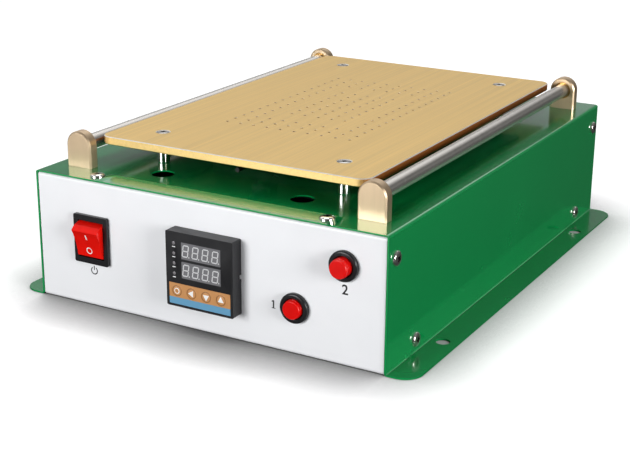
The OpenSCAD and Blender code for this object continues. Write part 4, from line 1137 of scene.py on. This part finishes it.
# The lamps' heights above the keypad's foot, and how far a bar is below its lamp, in millimetres
LAMP_LEVELS = (39.1, 32.6, 26.2, 19.7)
BAR_DROP = 2.3
LAMP_INSET = 3.9 * MM
BAR_HALF_HEIGHT = 0.3 * MM


def segment(tree, given, reach):
    """One bar of a digit: a hexagon stretched between two corners that far apart."""
    stroke = given["Stroke"]
    place = tree.split(tree.position())
    straight = tree.times(tree.minus(tree.minus(reach, given["Gap"]), stroke), 0.5)
    tip = tree.times(place["X"], tree.times(stroke, 0.5))
    along = tree.plus(tip, tree.times(tree.math("SIGN", place["X"]), straight))
    across = tree.times(place["Y"], tree.times(stroke, 1 / math.sqrt(3)))
    return tree.move(tree.cylinder(6, 1.0, given["Film"]), tree.xyz(along, across, place["Z"]))


def digit_tree(sizes):
    """A seven-segment digit and its point at each point, leaning a little to the right."""
    tree, given, out = geometry_tree("Display digit", sizes)
    width, stroke = given["Width"], given["Stroke"]
    half = tree.times(given["Height"], 0.5)
    foot = tree.times(half, -1.0)
    line = {"Count": 3, "Start Location": tree.xyz(y=foot), "Offset": tree.xyz(y=half)}
    rows = tree.result("GeometryNodeMeshLine", line)
    posts = tree.grid(width, half, 2, 2)
    parts = []
    for points, reach, turn in ((rows, width, 0.0), (posts, half, math.pi / 2)):
        bar = tree.turn(segment(tree, given, reach), (0, 0, turn))
        parts.append(tree.repeat(points, bar))
    dot_size, dot_gap = 0.6, 1.5
    dot = tree.cylinder(12, tree.times(stroke, dot_size), given["Film"])
    beside = tree.plus(tree.times(width, 0.5), tree.times(stroke, dot_gap))
    parts.append(tree.shift(dot, tree.xyz(beside, foot)))
    digit = tree.real(tree.join(*parts))
    lean = tree.times(tree.split(tree.position())["Y"], given["Lean"])
    sheared = tree.result("GeometryNodeSetPosition", {"Geometry": digit, "Offset": tree.xyz(lean)})
    upright = tree.turn(sheared, (math.pi / 2, 0, 0))
    placed = tree.repeat(given["Geometry"], upright)
    tree.link(tree.coat(tree.real(placed), given["Material"]), out)
    return tree


def make_digits(marks):
    """Four unlit digits in each of the two windows."""
    start, end = low("controller_windows"), high("controller_windows")
    spacing, left_of_middle = (end.x - start.x) / 4, 0.44
    row_height, lift = marks.digit * 1.3, marks.film * 0.6
    points = [
        (start.x + (n + left_of_middle) * spacing, start.y - lift, z)
        for z in (start.z + row_height / 2, end.z - row_height / 2) for n in range(4)
    ]
    given = {
        "Height": marks.digit - 1.1 * MM, "Width": 3.8 * MM, "Stroke": 0.72 * MM, "Gap": 0.3 * MM,
        "Film": marks.film, "Lean": math.tan(math.radians(8)), "Material": FINISHES["display_segment"],
    }
    piece = from_points("display_digits", points)
    grow(piece, digit_tree(given), given)
    settle(piece, "base", "display_segment")


def make_lamps(marks):
    """Four low round lamps beside the windows, each with a printed bar under it."""
    lamps, bars = bmesh.new(), bmesh.new()
    foot, face = low("controller_keypad"), low("controller_housing").y
    x, radius, flatness = foot.x + LAMP_INSET, marks.lamp, 0.2
    for level in LAMP_LEVELS:
        lens = Matrix.Translation((x, face, foot.z + level * MM)) @ Matrix.Diagonal((1, flatness, 1, 1))
        bmesh.ops.create_uvsphere(lamps, u_segments=20, v_segments=10, radius=radius, matrix=lens)
        below = foot.z + (level - BAR_DROP) * MM
        bar = rectangle(x - radius, x + radius, below - BAR_HALF_HEIGHT, below + BAR_HALF_HEIGHT)
        flat_patch(bars, bar, before("controller_housing"))
    settle(from_bmesh("indicator_lamps", lamps), "base", "lamp_lens", 60)
    print_on("lamp_bars", bars, "controller_housing", "white_print")


class SEPARATOR_OT_display(Operator):
    """Put the unlit digits in the two windows, and the four lamps and bars beside them"""

    bl_idname = "separator.display"
    bl_label = "Display"

    def execute(self, context):
        marks = context.scene.separator_marks
        make_digits(marks)
        make_lamps(marks)
        return {"FINISHED"}


# Printed marks

# The symbol's middle below the switch, and the numbers' places beside their buttons
SYMBOL_DROP = 5.2 * MM
NUMBER_GAP = 15 * MM
NUMBER_RIGHT = 0.5 * MM
NUMBER_DROP = 1 * MM


class SEPARATOR_OT_rocker_marks(Operator):
    """Print the on and off marks on the rocker's hollow face"""

    bl_idname = "separator.rocker_marks"
    bl_label = "Rocker marks"

    def execute(self, context):
        x, y = middle("rocker_paddle").x, before("rocker_paddle")
        axle = middle("rocker_housing").z
        half, tall = 0.5 * MM, 1.75 * MM
        level, ring_level = axle + 3 * MM, axle - 6.6 * MM
        shape = bmesh.new()
        flat_ring(shape, (x, y, ring_level), outer=2.3 * MM, stroke=0.65 * MM)
        flat_patch(shape, rectangle(x - half, x + half, level - tall, level + tall), y, cuts=5)
        print_on("rocker_marks", shape, "rocker_paddle", "white_print", "rocker_paddle")
        return {"FINISHED"}


class SEPARATOR_OT_key_marks(Operator):
    """Print a ring and three arrows on the controller's keys"""

    bl_idname = "separator.key_marks"
    bl_label = "Key marks"

    def execute(self, context):
        reach = 2.5 * MM
        for node, turn in KEY_TURNS.items():
            x, z = middle(node).x, middle(node).z
            centre = (x, before(node), z)
            shape, rim = bmesh.new(), bmesh.new()
            if turn is None:
                flat_ring(shape, centre, outer=1.9 * MM, stroke=0.5 * MM, steps=36)
            else:
                ways = [math.radians(turn + 120 * n) for n in range(3)]
                tips = [(x + reach * math.cos(way), z + reach * math.sin(way)) for way in ways]
                flat_patch(shape, tips, centre[1], cuts=7)
            # A darker orange ring round each key's edge: painted shade on its domed rim
            flat_ring(rim, centre, outer=3.3 * MM, stroke=0.35 * MM, steps=40)
            print_on(node + "_mark", shape, node, "white_print", node)
            print_on(node + "_rim", rim, node, "key_edge_shade", node)
        return {"FINISHED"}


def power_symbol(x, y, z, stroke):
    """An open ring with a bar in its gap."""
    half, bar_foot, bar_top = stroke / 2, z + 0.4 * MM, z + 3.3 * MM
    shape = bmesh.new()
    flat_ring(shape, (x, y, z), outer=2.7 * MM, stroke=stroke, start=125, sweep=290, steps=40)
    flat_patch(shape, rectangle(x - half, x + half, bar_foot, bar_top), y)
    return shape


def figure_one(x, y, z, height):
    """A plain 1 with a foot and a short flag."""
    half, wide, foot, tall = 0.45 * MM, 1.3 * MM, 0.4 * MM, height * 0.43
    flag_top, flag_foot, flag_root = tall - 0.7 * MM, tall - 1.2 * MM, tall - 0.9 * MM
    shape = bmesh.new()
    outline = (
        (-wide, -tall), (wide, -tall), (wide, foot - tall), (half, foot - tall), (half, tall), (-half, tall),
        (-wide, flag_top), (-wide, flag_foot), (-half, flag_root), (-half, foot - tall), (-wide, foot - tall),
    )
    flat_patch(shape, [(x + a, z + b) for a, b in outline], y)
    return shape


def figure_two(x, y, z, height):
    """A plain 2 in Blender's own letters, whose figures are 0.7 of their size high."""
    words = bpy.data.curves.new("figure", "FONT")
    words.body = "2"
    words.align_x = "CENTER"
    words.align_y = "CENTER"
    words.size = height / 0.7
    words.offset = height * 0.02
    holder = bpy.data.objects.new("figure", words)
    flat = bpy.data.meshes.new_from_object(holder)
    bpy.data.objects.remove(holder)
    flat.transform(Matrix.Translation((x, y, z)) @ Matrix.Rotation(math.pi / 2, 4, "X"))
    shape = bmesh.new()
    shape.from_mesh(flat)
    bpy.data.meshes.remove(flat)
    return shape


class SEPARATOR_OT_panel_print(Operator):
    """Print the power symbol and the buttons' numbers on the panel"""

    bl_idname = "separator.panel_print"
    bl_label = "Panel print"

    def execute(self, context):
        marks = context.scene.separator_marks
        y = before("chassis_tray")
        lower, upper = middle("lower_button_cap"), middle("upper_button_cap")
        under_switch = low("rocker_housing").z - SYMBOL_DROP
        symbol = power_symbol(middle("rocker_housing").x, y, under_switch, marks.stroke)
        two = figure_two(upper.x + NUMBER_RIGHT, y, upper.z - NUMBER_GAP, marks.figure)
        one = figure_one(lower.x - NUMBER_GAP, y, lower.z - NUMBER_DROP, marks.figure)
        for name, shape in (("power_symbol", symbol), ("button_number_2", two), ("button_number_1", one)):
            print_on(name, shape, "chassis_tray", "printed_ink")
        return {"FINISHED"}


# Stage

# The width of the camera's sensor, in millimetres
SENSOR = 36.0
# The camera's place from the foot of the cover's front
CAMERA_PLACE = (0.43487, -0.62935, 0.32821)
# Where the brighter floor starts and is whole, ahead of the panel and to its left
BOARD_AHEAD = (-0.22, -0.40)
BOARD_LEFT = (0.30, 0.10)
# The studio's walls: a shade for each height of the view, from level to nearly straight up
WALL_SHADES = ((0.0, 0.5), (0.20, 0.5), (0.27, 0.15), (0.34, 0.15), (0.46, 1.0), (0.70, 1.0), (0.82, 0.35))


def aim(piece, back):
    """Turns a camera or a light so that it looks away from that direction."""
    piece.rotation_mode = "QUATERNION"
    piece.rotation_quaternion = (-back).to_track_quat("-Z", "Y")


def make_camera(stage):
    """The camera at the photograph's viewing angle."""
    data = bpy.data.cameras.new("Camera")
    data.sensor_width = SENSOR
    data.lens = stage.lens / MM
    camera = add_object("Camera", data)
    a, e = stage.azimuth, stage.elevation
    aim(camera, Vector((math.sin(a) * math.cos(e), -math.cos(a) * math.cos(e), math.sin(e))))
    camera.rotation_quaternion = camera.rotation_quaternion @ Quaternion((0, 0, 1), stage.roll)
    x, y, z = CAMERA_PLACE
    camera.location = (x, low("cover").y + y, z)
    bpy.context.scene.camera = camera


def floor_finish(stage):
    """White to the camera, with a painted contact shadow close round the case, and dull to the object's own
    reflections.

    Only the floor before the panel's left part is brighter in them.
    """
    finish = Finish("floor_white", Roughness=0.9)
    tree = finish.tree
    cloud = finish.use("Coat texture", Grain=60.0)["Cloud"]
    shaded = finish.colour((stage.floor_seen,) * 3, cloud, 0.01)
    seen = tree.node("ShaderNodeLightPath").outputs["Is Camera Ray"]
    # A painted contact shadow: the floor's colour and glow darken with ambient occlusion near the case
    open_sky = tree.node("ShaderNodeAmbientOcclusion", {"Distance": stage.contact_shadow}, samples=8)
    contact_shadow = tree.math("POWER", open_sky.outputs["AO"], 2.0)
    shadowed_floor = tree.mix(contact_shadow, (0, 0, 0, 1), shaded)
    place = tree.split(finish.place)
    ahead = tree.ramp(place["Y"], *BOARD_AHEAD, 0.0, 1.0)
    left = tree.ramp(place["X"], *BOARD_LEFT, 0.0, 1.0)
    dull, bright = ([grey] * 3 + [1] for grey in (stage.floor_unseen, stage.floor_board))
    bounce = tree.mix(tree.times(ahead, left), dull, bright)
    finish.feed("Base Color", tree.mix(seen, bounce, shadowed_floor))
    finish.feed("Emission Strength", tree.times(tree.times(seen, contact_shadow), stage.floor_glow))
    finish.shader.inputs["Emission Color"].default_value = (1, 1, 1, 1)


def make_floor(stage):
    """A wide round floor under the object."""
    shape = bmesh.new()
    bmesh.ops.create_circle(shape, cap_ends=True, radius=stage.floor, segments=64)
    floor = from_bmesh("floor", shape)
    if floor.data.polygons[0].normal.z < 0:
        floor.data.flip_normals()
    floor_finish(stage)
    put_finish(floor, "floor_white")


def make_walls(stage):
    """The studio's soft walls: banded by height, and dimmer to the right and behind the camera."""
    world = bpy.data.worlds.new("Studio")
    world.use_nodes = True
    bpy.context.scene.world = world
    tree = Tree(world.node_tree)
    background = world.node_tree.nodes["Background"]
    view = tree.split(tree.node("ShaderNodeTexCoord").outputs["Generated"])
    bands = tree.node("ShaderNodeValToRGB", {"Fac": view["Z"]})
    elements = bands.color_ramp.elements
    for n, (height, grey) in enumerate(WALL_SHADES):
        element = elements[n] if n < 2 else elements.new(height)
        element.position = height
        element.color = (grey, grey, grey * 1.02, 1)
    to_left = tree.ramp(view["X"], -0.1, 0.35, 1.0, 0.25)
    to_back = tree.ramp(view["Y"], -0.6, 0.1, 0.3, 1.0)
    walls = tree.mix(1.0, bands.outputs[0], tree.times(to_left, to_back), blend_type="MULTIPLY")
    tree.link(walls, background.inputs["Color"])
    background.inputs["Strength"].default_value = stage.sky


def make_lights(stage):
    """Three square lights that look at the object: from the front left, the right and above."""
    for name, place, size, watts in (
        ("Front light", (-0.75, -2.1, 0.42), 1.0, stage.front),
        ("Side light", (2.2, -0.75, 0.5), 1.0, stage.side),
        ("Top light", (-0.5, 0.55, 2.1), 0.8, stage.top),
    ):
        light = bpy.data.lights.new(name, "AREA")
        light.size = size
        light.energy = watts
        holder = add_object(name, light)
        holder.location = place
        aim(holder, Vector(place))


class SEPARATOR_OT_stage(Operator):
    """Set the camera, the lights and the floor"""

    bl_idname = "separator.stage"
    bl_label = "Stage"

    def execute(self, context):
        stage = context.scene.separator_stage
        make_camera(stage)
        make_floor(stage)
        make_walls(stage)
        make_lights(stage)
        context.scene.view_settings.view_transform = "Standard"
        context.scene.view_settings.look = "Medium High Contrast"
        return {"FINISHED"}


# Add-on


class SEPARATOR_PT_panel(Panel):
    """The separator's pieces and sizes"""

    bl_idname = "SEPARATOR_PT_panel"
    bl_label = "LCD screen separator"
    bl_space_type = "VIEW_3D"
    bl_region_type = "UI"
    bl_category = "Separator"

    def draw(self, context):
        for operator in OPERATORS:
            self.layout.operator(operator.bl_idname)
        for name, sizes in SIZES.items():
            box = self.layout.box()
            for label in sizes.__annotations__:
                box.prop(getattr(context.scene, name), label)


OPERATORS = (
    SEPARATOR_OT_finishes,
    SEPARATOR_OT_plate,
    SEPARATOR_OT_plate_screws,
    SEPARATOR_OT_case_screws,
    SEPARATOR_OT_rounded_parts,
    SEPARATOR_OT_display,
    SEPARATOR_OT_rocker_marks,
    SEPARATOR_OT_key_marks,
    SEPARATOR_OT_panel_print,
    SEPARATOR_OT_stage,
)
SIZES = {
    "separator_colours": SeparatorColours,
    "separator_plate": SeparatorPlate,
    "separator_screws": SeparatorScrews,
    "separator_edges": SeparatorEdges,
    "separator_marks": SeparatorMarks,
    "separator_stage": SeparatorStage,
}
CLASSES = (*SIZES.values(), *OPERATORS, SEPARATOR_PT_panel)


def register():
    """Registers the classes and puts the sizes on the scene."""
    for made in CLASSES:
        bpy.utils.register_class(made)
    for name, sizes in SIZES.items():
        setattr(bpy.types.Scene, name, PointerProperty(type=sizes))


def unregister():
    """Takes the sizes and the classes away again."""
    for name in SIZES:
        delattr(bpy.types.Scene, name)
    for made in reversed(CLASSES):
        bpy.utils.unregister_class(made)


def main():
    """Builds every piece in order."""
    register()
    for operator in OPERATORS:
        area, name = operator.bl_idname.split(".")
        getattr(getattr(bpy.ops, area), name)()


if __name__ == "__main__":
    main()
